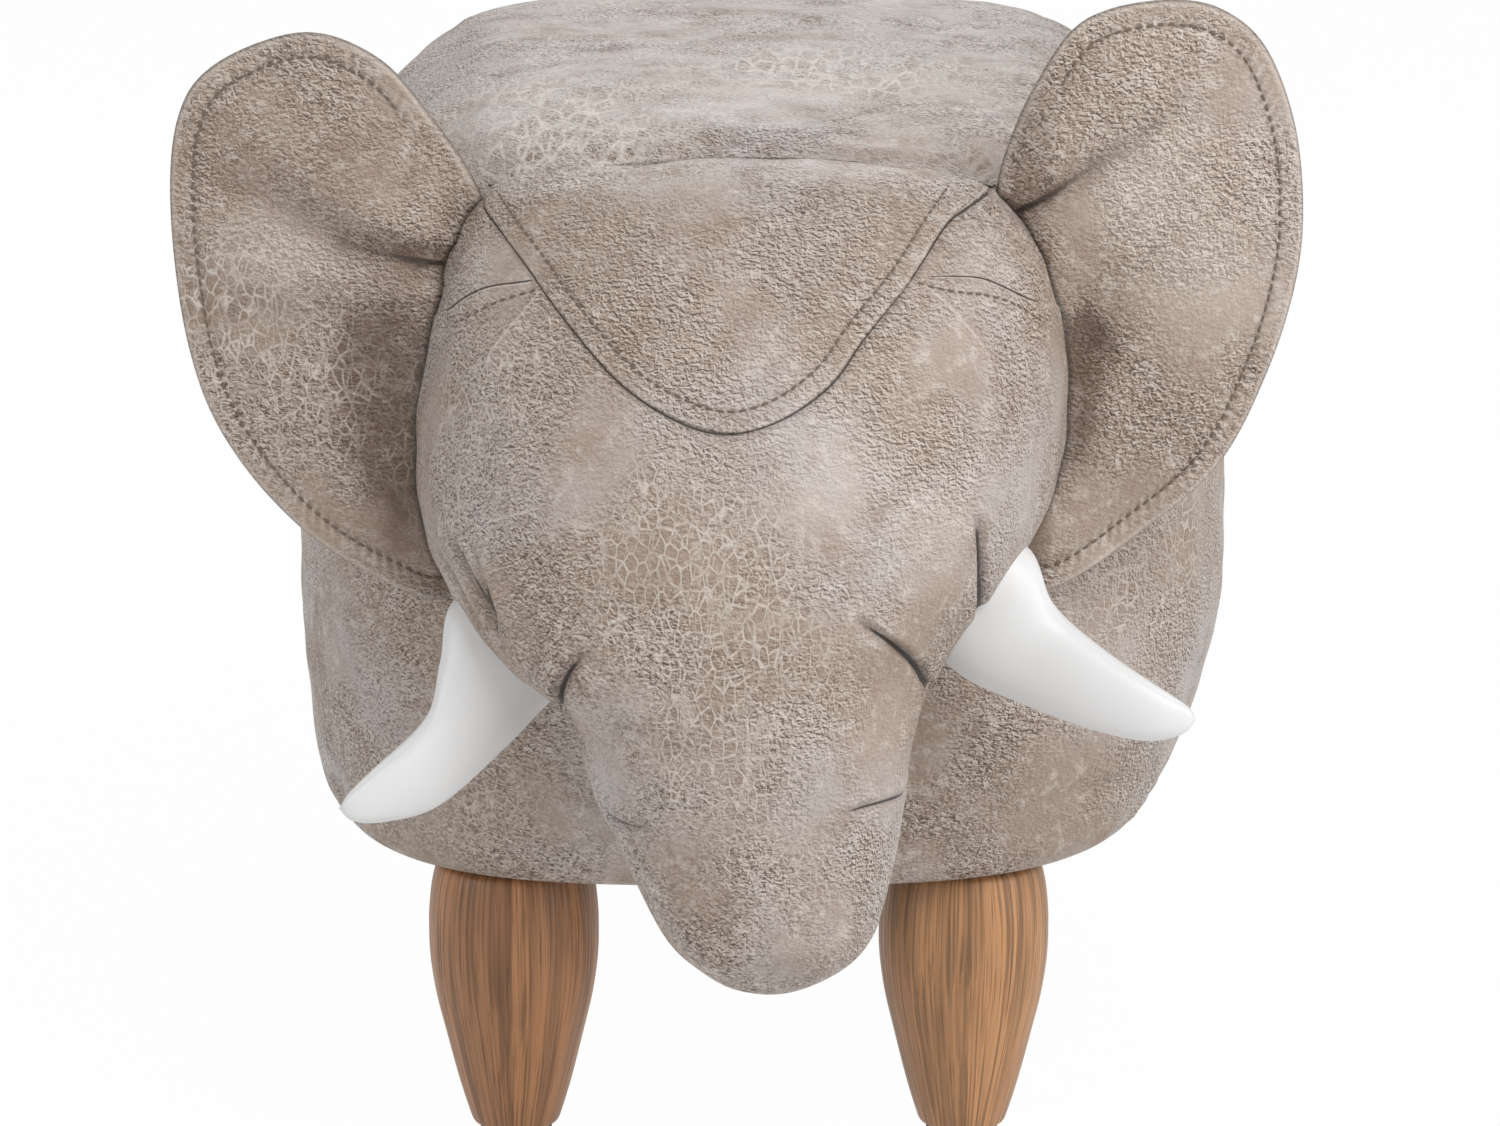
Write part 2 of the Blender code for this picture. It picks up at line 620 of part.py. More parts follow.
def head_half_width(z, grow):
    """Half the head's width at a height; a grown head is larger all round."""
    half, ridge, root = HEAD_WIDTH / 2, RIDGE_WIDTH / 2, TRUNK_ROOT_WIDTH / 2
    if z >= HEAD_WIDEST_Z:
        share = min(1, (z - HEAD_WIDEST_Z) / (HEAD_TOP_Z + grow - HEAD_WIDEST_Z))
        return grow + ridge + (half - ridge) * (1 - share**HEAD_ROUNDING) ** (1 / HEAD_ROUNDING)
    share = (HEAD_WIDEST_Z - z) / (HEAD_WIDEST_Z - TRUNK_TOP_Z)
    return grow + root + (half - root) * (1 - share**CHEEK_ROUNDING)


def head_depth(z, grow):
    """How far the face stands in front of the head's back at a height."""
    fullest_z = TRUNK_TOP_Z + (HEAD_WIDEST_Z - TRUNK_TOP_Z) / 4
    share = max(0, min(1, (z - fullest_z) / (HEAD_TOP_Z + grow - fullest_z)))
    fullness = (1 - share**HEAD_ROUNDING) ** (1 / HEAD_ROUNDING)
    return grow + RIDGE_DEPTH + (HEAD_DEPTH - RIDGE_DEPTH) * fullness


def head_point(x, z, grow):
    """The face's surface at a place across the head; the top level sags to its ends."""
    half = head_half_width(z, grow)
    share = min(1, abs(x) / half)
    forward = head_depth(z, grow) * (1 - share**HEAD_SQUARENESS) ** (1 / HEAD_SQUARENESS)
    climb = max(0, (z - TRUNK_TOP_Z) / (HEAD_TOP_Z - TRUNK_TOP_Z))
    return x, HEAD_BACK_Y - forward, z - RIDGE_SAG * share**2 * climb**3


def head_form():
    """The stuffed head: a flat back and a full rounded face, level by level."""
    rings = []
    for turn in spread(0, math.pi / 2, 12):
        z = TRUNK_TOP_Z + (HEAD_TOP_Z - TRUNK_TOP_Z) * math.sin(turn)
        ring = []
        for angle in spread(-math.pi / 2, math.pi / 2, ACROSS_HEAD):
            bend = math.copysign(abs(math.sin(angle)) ** (2 / HEAD_SQUARENESS), angle)
            ring.append(head_point(bend * head_half_width(z, 0), z, 0))
        rings.append(ring)
    return loft(rings)


def head_clearance_form():
    """The head a little larger all round, to cut what is seated on it."""
    form = head_form()
    bmesh.ops.recalc_face_normals(form, faces=form.faces)
    form.normal_update()
    for corner in form.verts:
        corner.co += corner.normal * 2 * GAP
    return form


def make_trunk(parent, hide):
    """The hanging trunk: tapering, rounded at its end and drifting to one side."""
    top = TRUNK_TOP_Z - GAP
    face = HEAD_BACK_Y - HEAD_DEPTH
    length = top - TRUNK_TIP_Z
    straight = 1 - TRUNK_TIP_ROUND / length
    shares = spread(0, straight, 5) + [straight + (1 - straight) * s for s in (0.3, 0.6, 0.82, 0.95, 1.0)]
    rings = []
    for share in shares:
        taper = min(1, share / straight)
        end = max(0, (share - straight) / (1 - straight))
        close = math.sqrt(1 - end**2)
        half_x = (TRUNK_ROOT_WIDTH + (TRUNK_TIP_WIDTH - TRUNK_ROOT_WIDTH) * taper) / 2 * close
        front = TRUNK_ROOT_FRONT + (TRUNK_TIP_FRONT - TRUNK_ROOT_FRONT) * taper
        back = TRUNK_ROOT_BACK + (TRUNK_TIP_BACK - TRUNK_ROOT_BACK) * taper
        middle = (TRUNK_LEAN * share, face + TRUNK_SETBACK * share**2 + front, top - length * share)
        if share == 1:
            rings.append([middle])
            continue
        ring = []
        for i in range(AROUND_TRUNK):
            angle = 2 * math.pi * i / AROUND_TRUNK
            c, s = math.cos(angle), math.sin(angle)
            x = math.copysign(abs(c) ** (2 / HEAD_SQUARENESS), c)
            y = abs(s) ** (2 / HEAD_SQUARENESS) * (back if s > 0 else -front)
            ring.append((middle[0] + half_x * x, middle[1] + y * close, middle[2]))
        rings.append(ring)
    add_piece("trunk", loft(rings), hide, parent)


def make_forehead(parent, hide):
    """The lapped panel over the forehead, a broad tongue that narrows to a rounded point."""
    point_z = HEAD_TOP_Z - PATCH_BELOW_RIDGE - PATCH_HEIGHT
    rings = []
    for share in (0.01, 0.05, 0.12, 0.24, 0.4, 0.58, 0.76, 0.9, 1.0):
        z = point_z + PATCH_HEIGHT * share
        half = PATCH_WIDTH / 2 * share**PATCH_POINT_POWER
        columns = [half * i / 8 for i in range(-8, 9)]
        outer = [head_point(x, z, PATCH_SEAT + COVER_THICKNESS) for x in columns]
        inner = [head_point(x, z, PATCH_SEAT) for x in reversed(columns)]
        rings.append(outer + inner)
    add_piece("forehead_panel", loft(rings), hide, parent)


def smooth_loop(points, steps):
    """A closed Catmull-Rom curve through a few points."""
    curve = []
    count = len(points)
    for i in range(count):
        a, b, c, d = (Vector(points[(i + k) % count]) for k in (-1, 0, 1, 2))
        for step in range(steps):
            t = step / steps
            bend = 2 * a - 5 * b + 4 * c - d
            twist = 3 * (b - c) + d - a
            curve.append(0.5 * (2 * b + t * (c - a) + t**2 * bend + t**3 * twist))
    return curve


def ear_place(out, up):
    """A point of the ear's pattern, from shares to distances from the head's side and widest place."""
    return Vector((out * (EAR_REACH if out > 0 else EAR_TUCK), up * (EAR_RISE if up > 0 else EAR_DROP)))


def make_ears(parent, head_cutter, hide):
    """Each ear is a front and a back panel sewn at the edge, set into the head's side."""
    outline = smooth_loop([ear_place(*point) for point in EAR_OUTLINE], 3)
    centre = ear_place(*EAR_CENTRE)
    for side, sign, lift in (("left", -1, -EAR_LIFT), ("right", 1, EAR_LIFT)):
        for face, facing in (("front", -1), ("back", 1)):
            rings = []
            levels = [(1, GAP / 2), (1, EAR_EDGE / 2)]
            for share in (0.85, 0.6, 0.3, 0):
                levels.append((share, EAR_EDGE / 2 + EAR_PUFF * (1 - share**2) ** EAR_PUFF_POWER))
            for share, height in levels:
                ring = []
                for corner in outline if share else outline[:1]:
                    out, up = centre + (corner - centre) * share
                    middle = HEAD_BACK_Y - EAR_DEPTH_AT_ROOT + EAR_SWEEP * out
                    x = sign * (HEAD_WIDTH / 2 + out)
                    ring.append((x, middle + facing * height, HEAD_WIDEST_Z + up + lift))
                rings.append(ring)
            ear = add_piece(f"{side}_ear_{face}", loft(rings), hide, parent)
            cut(ear, head_cutter)


def make_tusks(parent, head_cutter, white_hide):
    """Stuffed tusks that curve up to blunt tips, seated on the head's lower sides."""
    left = ("left_tusk", -1, LEFT_TUSK_DROOP, LEFT_TUSK_Z)
    right = ("right_tusk", 1, RIGHT_TUSK_DROOP, RIGHT_TUSK_Z)
    for name, sign, droop, height in (left, right):
        along = Vector((sign * math.cos(math.radians(droop)), 0, -math.sin(math.radians(droop))))
        hang = Vector((-sign * math.sin(math.radians(droop)), 0, -math.cos(math.radians(droop))))
        root = Vector((sign * TUSK_SEAT_OUT, HEAD_BACK_Y - TUSK_SEAT_DEPTH, height))
        rings = []
        blunt = 1 - TUSK_BLUNT_SHARE
        shares = spread(-TUSK_ROOT_SHARE, blunt, 8) + [blunt + TUSK_BLUNT_SHARE * s for s in (0.5, 0.8, 1)]
        for share in shares:
            middle = root + along * TUSK_LENGTH * share + hang * TUSK_SAG * 4 * share * (1 - share)
            middle.y -= TUSK_FORWARD * share
            slope = along * TUSK_LENGTH + hang * TUSK_SAG * 4 * (1 - 2 * share)
            across = Vector((-slope.z, 0, slope.x)).normalized()
            if share == 1:
                rings.append([middle])
                continue
            swell = (1 - max(0, share)) ** TUSK_TAPER
            radius = TUSK_TIP_RADIUS + (TUSK_ROOT_RADIUS - TUSK_TIP_RADIUS) * swell
            radius *= math.sqrt(1 - max(0, (share - blunt) / TUSK_BLUNT_SHARE) ** 2)
            ring = []
            for i in range(AROUND_TUSK):
                angle = 2 * math.pi * i / AROUND_TUSK
                ring.append(
                    middle
                    + across * radius * math.cos(angle)
                    + Vector((0, radius * TUSK_FLATNESS * math.sin(angle), 0))
                )
            rings.append(ring)
        cut(add_piece(name, loft(rings), white_hide, parent), head_cutter)


def make_tail(parent, hide):
    """A slim tail on the rear seam, with a tuft at its end."""
    y = BODY_Y + BODY_LENGTH / 2 + GAP + TAIL_RADIUS
    top = BULGE_Z + TAIL_ABOVE_BULGE
    low = top - TAIL_LENGTH
    tail = [(0, top), (TAIL_RADIUS - TAIL_EDGE, top), (TAIL_RADIUS, top - TAIL_EDGE)]
    tail += [(TAIL_RADIUS, BULGE_Z), (TAIL_END_RADIUS, low), (0, low)]
    add_piece("tail", turned(tail[::-1], AROUND_SMALL), hide, parent, (0, y, 0))
    head = low - GAP
    tuft = [(0, head), (TAIL_END_RADIUS, head)]
    for share, swell in TUFT_SWELLS:
        tuft.append((TUFT_RADIUS * swell, head - TUFT_LENGTH * share))
    tuft.append((0, head - TUFT_LENGTH))
    add_piece("tail_tuft", turned(tuft[::-1], AROUND_SMALL), hide, parent, (0, y, 0))


def main():
    remove_everything()
    hide = finish("taupe_hide", 165, 150, 140, 0.5)
    white_hide = finish("white_hide", 226, 226, 226, 0.5)
    oak = finish("oak", 158, 115, 78, 0.5)
    plywood = finish("plywood", 196, 164, 122, 0.7)
    foam = finish("foam", 226, 214, 176, 0.9)
    lining_cloth = finish("lining_cloth", 92, 84, 78, 0.9)
    dust_cloth = finish("dust_cloth", 34, 33, 33, 0.95)
    felt = finish("felt", 48, 42, 38, 0.95)
    rubber = finish("rubber", 40, 40, 40, 0.8)
    steel = finish("steel", 176, 178, 180, 0.35, 1.0)

    base = add_pivot("base_frame", (0, 0, 0))
    lid_pivot = add_pivot("lid_hinge_axis", (0, PIN_Y, PIN_Z))
    lid_pivot.parent = base
    make_legs(base, oak, felt, steel)
    make_tub(base, plywood, lining_cloth, dust_cloth)
    make_pads(base, foam)
    make_body_covers(base, hide)
    make_lid(lid_pivot, plywood, foam, hide, lining_cloth)
    make_hinges(base, lid_pivot, steel)
    make_bumpers(base, rubber)
    add_piece("head", head_form(), hide, base)
    head_cutter = add_cutter("head_clearance", head_clearance_form())
    make_trunk(base, hide)
    make_forehead(base, hide)
    make_ears(base, head_cutter, hide)
    make_tusks(base, head_cutter, white_hide)
    make_tail(base, hide)


main()
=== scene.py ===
"""Elephant storage pouf: hide, padding, seams, tusks, legs and tub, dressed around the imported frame.

Metres, +Z up. The elephant faces -Y. Left and right are as seen from the front.
"""

import math

import bmesh
import bpy
import numpy as np
from bpy.props import FloatProperty, FloatVectorProperty, PointerProperty
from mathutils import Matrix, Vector
from mathutils.bvhtree import BVHTree


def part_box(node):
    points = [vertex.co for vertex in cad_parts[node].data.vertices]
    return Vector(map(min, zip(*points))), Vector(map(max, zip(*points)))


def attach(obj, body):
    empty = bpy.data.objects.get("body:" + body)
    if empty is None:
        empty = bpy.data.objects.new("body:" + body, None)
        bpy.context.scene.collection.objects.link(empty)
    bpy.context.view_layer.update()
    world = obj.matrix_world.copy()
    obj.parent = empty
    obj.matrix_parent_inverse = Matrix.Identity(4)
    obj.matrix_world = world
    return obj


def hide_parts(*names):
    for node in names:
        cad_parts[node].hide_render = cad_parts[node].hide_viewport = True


bl_info = {
    "name": "Elephant storage pouf",
    "version": (1, 0, 0),
    "blender": (4, 5, 0),
    "location": "3D View > Sidebar > Pouf",
    "description": "Dresses a padded elephant stool with hide, seams, tusks, legs and a lined tub",
    "category": "Object",
}

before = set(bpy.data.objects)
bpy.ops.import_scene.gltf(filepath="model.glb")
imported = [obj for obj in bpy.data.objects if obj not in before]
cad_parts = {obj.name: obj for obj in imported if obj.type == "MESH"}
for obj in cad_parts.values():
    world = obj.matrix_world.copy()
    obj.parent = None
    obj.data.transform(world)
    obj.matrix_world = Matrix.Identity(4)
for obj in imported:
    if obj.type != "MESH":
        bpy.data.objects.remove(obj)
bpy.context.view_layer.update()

# Places taken from the frame
HEAD_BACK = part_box("head")[1].y
HEAD_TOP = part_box("head")[1].z
FACE_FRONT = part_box("head")[0].y
BODY_LEFT = -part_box("left_body_cover")[0].x
BODY_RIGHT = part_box("right_body_cover")[1].x
BODY_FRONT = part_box("left_body_cover")[0].y
BODY_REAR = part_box("left_body_cover")[1].y
BODY_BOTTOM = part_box("left_body_cover")[0].z
BODY_Y = (BODY_FRONT + BODY_REAR) / 2
BODY_HALF = (BODY_REAR - BODY_FRONT) / 2
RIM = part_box("left_wall")[1].z
LID_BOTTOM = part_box("seat_cover")[0].z
SEAT_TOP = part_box("seat_cover")[1].z
TUB_LOW, TUB_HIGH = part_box("tub_lining")

# The body's outline, as in the frame
BOTTOM_HALF_WIDTH = 0.148
FRONT_TUCK = 0.029
REAR_TUCK = 0.012
RIM_TUCK = 0.004
BULGE_BELOW_RIM = 0.052
BULGE_POWER = 2.4
FRONT_SQUARENESS = 3.3
REAR_SQUARENESS = 4.5

# Body and seat: fits, edges and seams
SKIN_GAP = 0.0003
BODY_HEM_ROWS = (0.016, 0.011, 0.007)
BODY_EDGE = 0.005
BODY_LIP = 0.008
BODY_SEAM_DEPTH = 0.0016
BODY_SEAM_WIDTH = 0.0014
BODY_SEAM_STITCH = 0.007
SEAT_ROLLS = (0.053, 0.060, 0.045, 0.060)
SEAT_EDGE = 0.004
SEAT_CROWN = 0.007
SEAT_FLAT_SHARE = 0.55
SEAT_HEM_DROOP = 0.0028
# Unevenness of the stuffing: height, size and seed of each wave
BODY_LUMPS = ((0.0009, 0.06, 4), (0.0004, 0.022, 5))
SEAT_LUMPS = ((0.0010, 0.075, 8), (0.0005, 0.024, 9))
FACE_LUMPS = ((0.0006, 0.045, 2), (0.0003, 0.018, 3))
# Rays towards the face and ears start here
AHEAD = -0.5
BEHIND = 0.1
STITCH_LIFT = 0.0001

# Face: distance of the left and right edge from the middle, down the head and the trunk
LEFT_EDGE = (
    (0.371, 0.0815), (0.3625, 0.0880), (0.3545, 0.0928), (0.3375, 0.0990), (0.310, 0.1038),
    (0.282, 0.109), (0.268, 0.1095), (0.255, 0.1087), (0.238, 0.105), (0.2205, 0.096), (0.2123, 0.087),
    (0.2056, 0.0766), (0.2005, 0.064), (0.196, 0.0562), (0.1825, 0.0528), (0.1631, 0.0441),
    (0.1466, 0.036), (0.1313, 0.0292), (0.115, 0.023), (0.100, 0.0205),
)
RIGHT_EDGE = (
    (0.371, 0.0835), (0.3625, 0.0905), (0.357, 0.0948), (0.345, 0.1018), (0.326, 0.1068),
    (0.300, 0.1105), (0.271, 0.110), (0.255, 0.107), (0.2395, 0.0985), (0.2261, 0.0868),
    (0.2151, 0.0781), (0.2071, 0.0708), (0.200, 0.0635), (0.1825, 0.0573), (0.1679, 0.0547),
    (0.142, 0.0506), (0.1258, 0.046), (0.1095, 0.043), (0.100, 0.042),
)
# Body: how much the lower flanks depart from the plain form
LOW_LEFT_FULLNESS = 0.003
LOW_RIGHT_HOLLOW = 0.003
# Face: the line of its widest places and its back, once it leaves the body
WIDEST_LINE = (
    (0.212, -0.170), (0.204, -0.186), (0.196, -0.203), (0.186, -0.217), (0.170, -0.227), (0.150, -0.233),
    (0.100, -0.236),
)
BACK_LINE = (
    (0.206, -0.168), (0.198, -0.178), (0.190, -0.186), (0.180, -0.1915), (0.165, -0.1965),
    (0.150, -0.200), (0.100, -0.205),
)
TRUNK_TIP = 0.1035
TRUNK_ROUND = 0.024
TRUNK_TOP = 0.200
TRUNK_SETBACK = 0.010
RIDGE_DEPTH = 0.018
RIDGE_HALF = 0.0825
RIDGE_DROP = 0.0025
RIDGE_SAG = 0.0075
RIDGE_END_SAG = 0.004
RIDGE_ROUND = 0.004
HEAD_ROUNDING = 1.6
HEAD_SQUARENESS = 2.3
FULLEST_Z = 0.219
RIDGE_FRONT_ROUND = 0.011

# Lines on the face, as x and z seen from the front
PANEL_EDGE = (
    (-0.0842, 0.3526), (-0.0767, 0.3473), (-0.0676, 0.3388), (-0.0538, 0.3243), (-0.0382, 0.3098),
    (-0.0218, 0.3004), (-0.0036, 0.2957), (0.0139, 0.2997), (0.0301, 0.3098), (0.0408, 0.3226),
    (0.0552, 0.3374), (0.0674, 0.3513), (0.0751, 0.3553), (0.0811, 0.3566), (0.0835, 0.3568),
)
LEFT_BROW = ((-0.0958, 0.320), (-0.0879, 0.3274), (-0.080, 0.3324), (-0.0669, 0.3364))
RIGHT_BROW = ((0.0600, 0.3385), (0.0697, 0.3376), (0.0793, 0.3359), (0.0874, 0.3314), (0.0986, 0.3238))
LEFT_BROW_SEAM = ((-0.092, 0.3188), (-0.0839, 0.3246), (-0.0761, 0.3292), (-0.0662, 0.3331))
RIGHT_BROW_SEAM = ((0.0591, 0.3368), (0.0647, 0.3348), (0.0792, 0.3311), (0.089, 0.3271), (0.0984, 0.3197))
# Folds: line, depth, width, how far the hide beside them swells, and how much shade is painted into them
FOLDS = (
    (PANEL_EDGE, 0.0008, 0.0012, 0.0, 0.7),
    (((-0.0503, 0.2249), (-0.0557, 0.2158), (-0.0578, 0.206), (-0.0565, 0.196)),
     0.0042, 0.0017, 0.0018, 1.0),
    (((0.0771, 0.2636), (0.0785, 0.2522), (0.0793, 0.2376), (0.0785, 0.226)),
     0.0036, 0.0014, 0.0014, 1.0),
    (((0.039, 0.2369), (0.0495, 0.2274), (0.0587, 0.2146), (0.0635, 0.200)),
     0.0040, 0.0016, 0.0018, 1.0),
    (((-0.0435, 0.1655), (-0.0365, 0.166), (-0.0285, 0.1669)), 0.0016, 0.0015, 0.0010, 0.5),
    (((0.0333, 0.1729), (0.0441, 0.1733), (0.054, 0.1714)), 0.0020, 0.0015, 0.0012, 0.6),
    (((-0.0943, 0.2526), (-0.0894, 0.2461), (-0.0822, 0.2354), (-0.0764, 0.2221)),
     0.0030, 0.0016, 0.0012, 0.8),
    (((-0.0985, 0.2445), (-0.093, 0.238), (-0.0865, 0.229), (-0.0805, 0.2195)),
     0.0026, 0.0015, 0.0010, 0.6),
    (((-0.0885, 0.2565), (-0.0845, 0.247), (-0.0790, 0.2345), (-0.0735, 0.2235)),
     0.0016, 0.0014, 0.0008, 0.4),
    (((-0.0821, 0.2414), (-0.0805, 0.2345), (-0.079, 0.228)), 0.0028, 0.0014, 0.0, 1.0),
    (((-0.084, 0.2582), (-0.0785, 0.263), (-0.0609, 0.2708)), -0.0005, 0.0012, 0.0, 0.0),
    (((-0.0821, 0.2441), (-0.077, 0.2478), (-0.0715, 0.2505)), -0.0005, 0.0010, 0.0, 0.0),
    (((-0.0638, 0.3334), (-0.069, 0.3264), (-0.0773, 0.3157), (-0.0849, 0.3004)),
     -0.0006, 0.0016, 0.0, 0.0),
    (((0.0591, 0.3365), (0.0662, 0.3302), (0.0724, 0.324), (0.0789, 0.316), (0.0852, 0.3053)),
     -0.0006, 0.0016, 0.0, 0.0),
)
# Fine dark lines of painted shade in seams and folds: line, strength (past one, with a painted highlight on
# the lip beside it), width, and the shares where its ends thin out
FACE_SEAMS = (
    (PANEL_EDGE, 2.0, 0.9, 0.0, 0.0),
    (LEFT_BROW[::-1], 2.0, 0.6, 0.02, 0.10),
    (RIGHT_BROW[::-1], 2.0, 0.6, 0.10, 0.45),
    (FOLDS[1][0][::-1], 1.0, 2.2, 0.05, 0.5),
    (FOLDS[2][0], 1.0, 2.2, 0.4, 0.05),
    (FOLDS[3][0], 1.0, 2.2, 0.5, 0.05),
    (FOLDS[4][0], 0.7, 1.0, 0.05, 0.8),
    (FOLDS[5][0], 1.0, 1.2, 0.8, 0.05),
    (FOLDS[6][0], 0.8, 1.2, 0.4, 0.4),
    (FOLDS[9][0], 1.0, 2.4, 0.4, 0.4),
)
# Fine pale lines, told in the same way
FACE_SCARS = (
    (FOLDS[10][0], 0.7, 1.0, 0.3, 0.4),
    (FOLDS[11][0], 0.6, 1.0, 0.3, 0.4),
    (FOLDS[12][0], 0.6, 1.0, 0.02, 0.7),
    (FOLDS[13][0], 0.5, 1.0, 0.02, 0.7),
)
PANEL_THICKNESS = 0.0009
PANEL_ROLL = 0.0009
PANEL_STITCH_INSET = 0.0065
PANEL_SEATED = 0.0014
BROW_FULLNESS = 0.0011
BROW_SEAM_DEPTH = 0.0004
BROW_SEAM_WIDTH = 0.0011

# Ears: outline seen from the front, starting at the root's top; the last points are hidden in the head
LEFT_EAR = (
    (-0.0846, 0.3532), (-0.1049, 0.388), (-0.122, 0.404), (-0.1442, 0.4093), (-0.1724, 0.398),
    (-0.185, 0.380), (-0.1882, 0.3475), (-0.1834, 0.303), (-0.1715, 0.2708), (-0.1471, 0.2415),
    (-0.1198, 0.2237), (-0.0994, 0.2167), (-0.086, 0.226), (-0.078, 0.262), (-0.076, 0.310),
)
RIGHT_EAR = (
    (0.0859, 0.3569), (0.0905, 0.374), (0.097, 0.3906), (0.1078, 0.4092), (0.1209, 0.4174),
    (0.1420, 0.4203), (0.1592, 0.4166), (0.1736, 0.4040), (0.1838, 0.3787), (0.1874, 0.3500),
    (0.1852, 0.3238), (0.176, 0.2931), (0.1623, 0.2646), (0.1413, 0.2439), (0.1063, 0.2213),
    (0.091, 0.230), (0.081, 0.264), (0.078, 0.312),
)
EAR_VISIBLE = 0.77
EAR_STITCH_START = 0.10
LEFT_EAR_PLEAT = (
    (-0.090, 0.332), (-0.105, 0.334), (-0.127, 0.3385), (-0.1385, 0.345), (-0.159, 0.355),
    (-0.178, 0.3615),
)
RIGHT_EAR_PLEAT = (
    (0.090, 0.347), (0.101, 0.354), (0.1085, 0.3595), (0.119, 0.367), (0.135, 0.378), (0.148, 0.390),
)
# Hollows of the ears: middle, half-width, half-height and depth
LEFT_EAR_HOLLOWS = (
    (-0.119, 0.291, 0.014, 0.022, 1.2), (-0.110, 0.266, 0.012, 0.026, 0.8),
    (-0.160, 0.318, 0.022, 0.007, 0.35),
)
RIGHT_EAR_HOLLOWS = (
    (0.1165, 0.307, 0.010, 0.016, 1.0), (0.1120, 0.276, 0.008, 0.026, 0.8),
    (0.166, 0.307, 0.014, 0.012, 0.15), (0.133, 0.398, 0.030, 0.012, 0.3),
)
EAR_EDGE = 0.0020
EAR_PUFF = 0.0046
EAR_STITCH_INSET = 0.008
EAR_SWEEP = 0.10
EAR_IN_FRONT = 0.004
EAR_ROOT_BACK = 0.013
PUCKER_PITCH = 0.0044
EAR_MIDDLE = (0.132, 0.318)
EAR_WAVE = 0.0025
PLEAT_DEPTH = 0.0066
PLEAT_SHOULDER = 0.0022
HOLLOW_DEPTH = 0.0040

# Tusks: upper and lower edge from the hidden root to the tip, seen from the front
LEFT_TUSK = (
    ((-0.070, 0.236), (-0.0935, 0.2272), (-0.098, 0.2083), (-0.1025, 0.1915), (-0.1197, 0.1764),
     (-0.1275, 0.1690), (-0.1307, 0.1640)),
    ((-0.046, 0.206), (-0.0638, 0.1907), (-0.0762, 0.1790), (-0.098, 0.1624), (-0.1165, 0.1588),
     (-0.1265, 0.1598), (-0.1307, 0.1640)),
)
RIGHT_TUSK = (
    ((0.076, 0.254), (0.0960, 0.2442), (0.1038, 0.2275), (0.1190, 0.2154), (0.1408, 0.2026),
     (0.1475, 0.1982), (0.1495, 0.1945)),
    ((0.056, 0.217), (0.0730, 0.2020), (0.0896, 0.1952), (0.1108, 0.1894), (0.1322, 0.1864),
     (0.1450, 0.1893), (0.1495, 0.1945)),
)
TUSK_ROOT_Y = -0.202
TUSK_TIP_Y = -0.232
TUSK_FLATNESS = 0.62

# Legs: share of the height and radius, from the foot up
LEG_PROFILE = (
    (0.0, 0.0142), (0.012, 0.0155), (0.03, 0.0162), (0.35, 0.0247), (0.55, 0.0289), (0.70, 0.0302),
    (0.85, 0.0297), (0.96, 0.0278), (0.985, 0.0268), (1.0, 0.0246),
)
LEG_RADIUS = 0.0302
LEG_ROWS = 130
LEG_COLUMNS = 72

# Tail, linings and hardware
TAIL_RADIUS = 0.0066
TAIL_TAPER = 0.0020
TUFT_STRANDS = 90
TUFT_SPREAD = 0.0034
TUB_CLOTH_THICKNESS = 0.0011
TUB_CLOTH_BEND = 0.006
LID_CLOTH_INSET = 0.0163
LID_CLOTH_THICKNESS = 0.0008
DUST_CLOTH_INSET = 0.010
DUST_CLOTH_THICKNESS = 0.0005
CLOTH_FLUTTER = 0.0001
STAPLE_SPACING = 0.028
SCREW_PLACES = ((-0.012, 0.222), (0.012, 0.222), (0.0, 0.236))
SCREW_LEVEL = 0.0019

# Pale crackle on the hide: middle, spread and strength
CRACKLE_SPOTS = (
    ((-0.060, -0.105, 0.358), 0.042, 1.1), ((-0.030, -0.172, 0.366), 0.034, 1.0),
    ((0.030, 0.005, 0.363), 0.050, 1.1), ((-0.075, -0.030, 0.360), 0.040, 0.7),
    ((0.075, -0.120, 0.355), 0.026, 0.5), ((-0.085, -0.200, 0.272), 0.036, 1.4),
    ((-0.070, -0.215, 0.300), 0.026, 0.9), ((-0.013, -0.265, 0.275), 0.030, 1.0),
    ((-0.016, -0.275, 0.243), 0.030, 1.0), ((0.007, -0.277, 0.222), 0.030, 0.9),
    ((-0.013, -0.277, 0.185), 0.026, 0.8), ((0.017, -0.272, 0.155), 0.022, 0.6),
    ((0.095, -0.190, 0.285), 0.024, 0.4), ((-0.155, -0.168, 0.290), 0.036, 1.0),
    ((-0.172, -0.165, 0.325), 0.028, 0.6), ((0.132, -0.115, 0.225), 0.040, 1.6),
    ((-0.085, -0.140, 0.140), 0.040, 0.6), ((0.145, -0.165, 0.385), 0.028, 0.35),
    ((0.150, 0.100, 0.200), 0.040, 0.6), ((-0.150, 0.120, 0.180), 0.045, 0.6),
    ((0.060, 0.250, 0.190), 0.040, 0.6), ((-0.050, 0.160, 0.362), 0.045, 0.6),
)

# Painted highlights of sheen on the hide: middle and spread
SHEEN_SPOTS = (
    ((0.085, -0.200, 0.343), 0.014), ((-0.086, -0.195, 0.338), 0.012), ((0.033, -0.262, 0.285), 0.020),
    ((0.135, -0.170, 0.358), 0.022), ((0.152, -0.170, 0.330), 0.024), ((-0.152, -0.170, 0.335), 0.020),
    ((0.060, -0.250, 0.262), 0.014), ((0.0, -0.05, 0.365), 0.030),
)


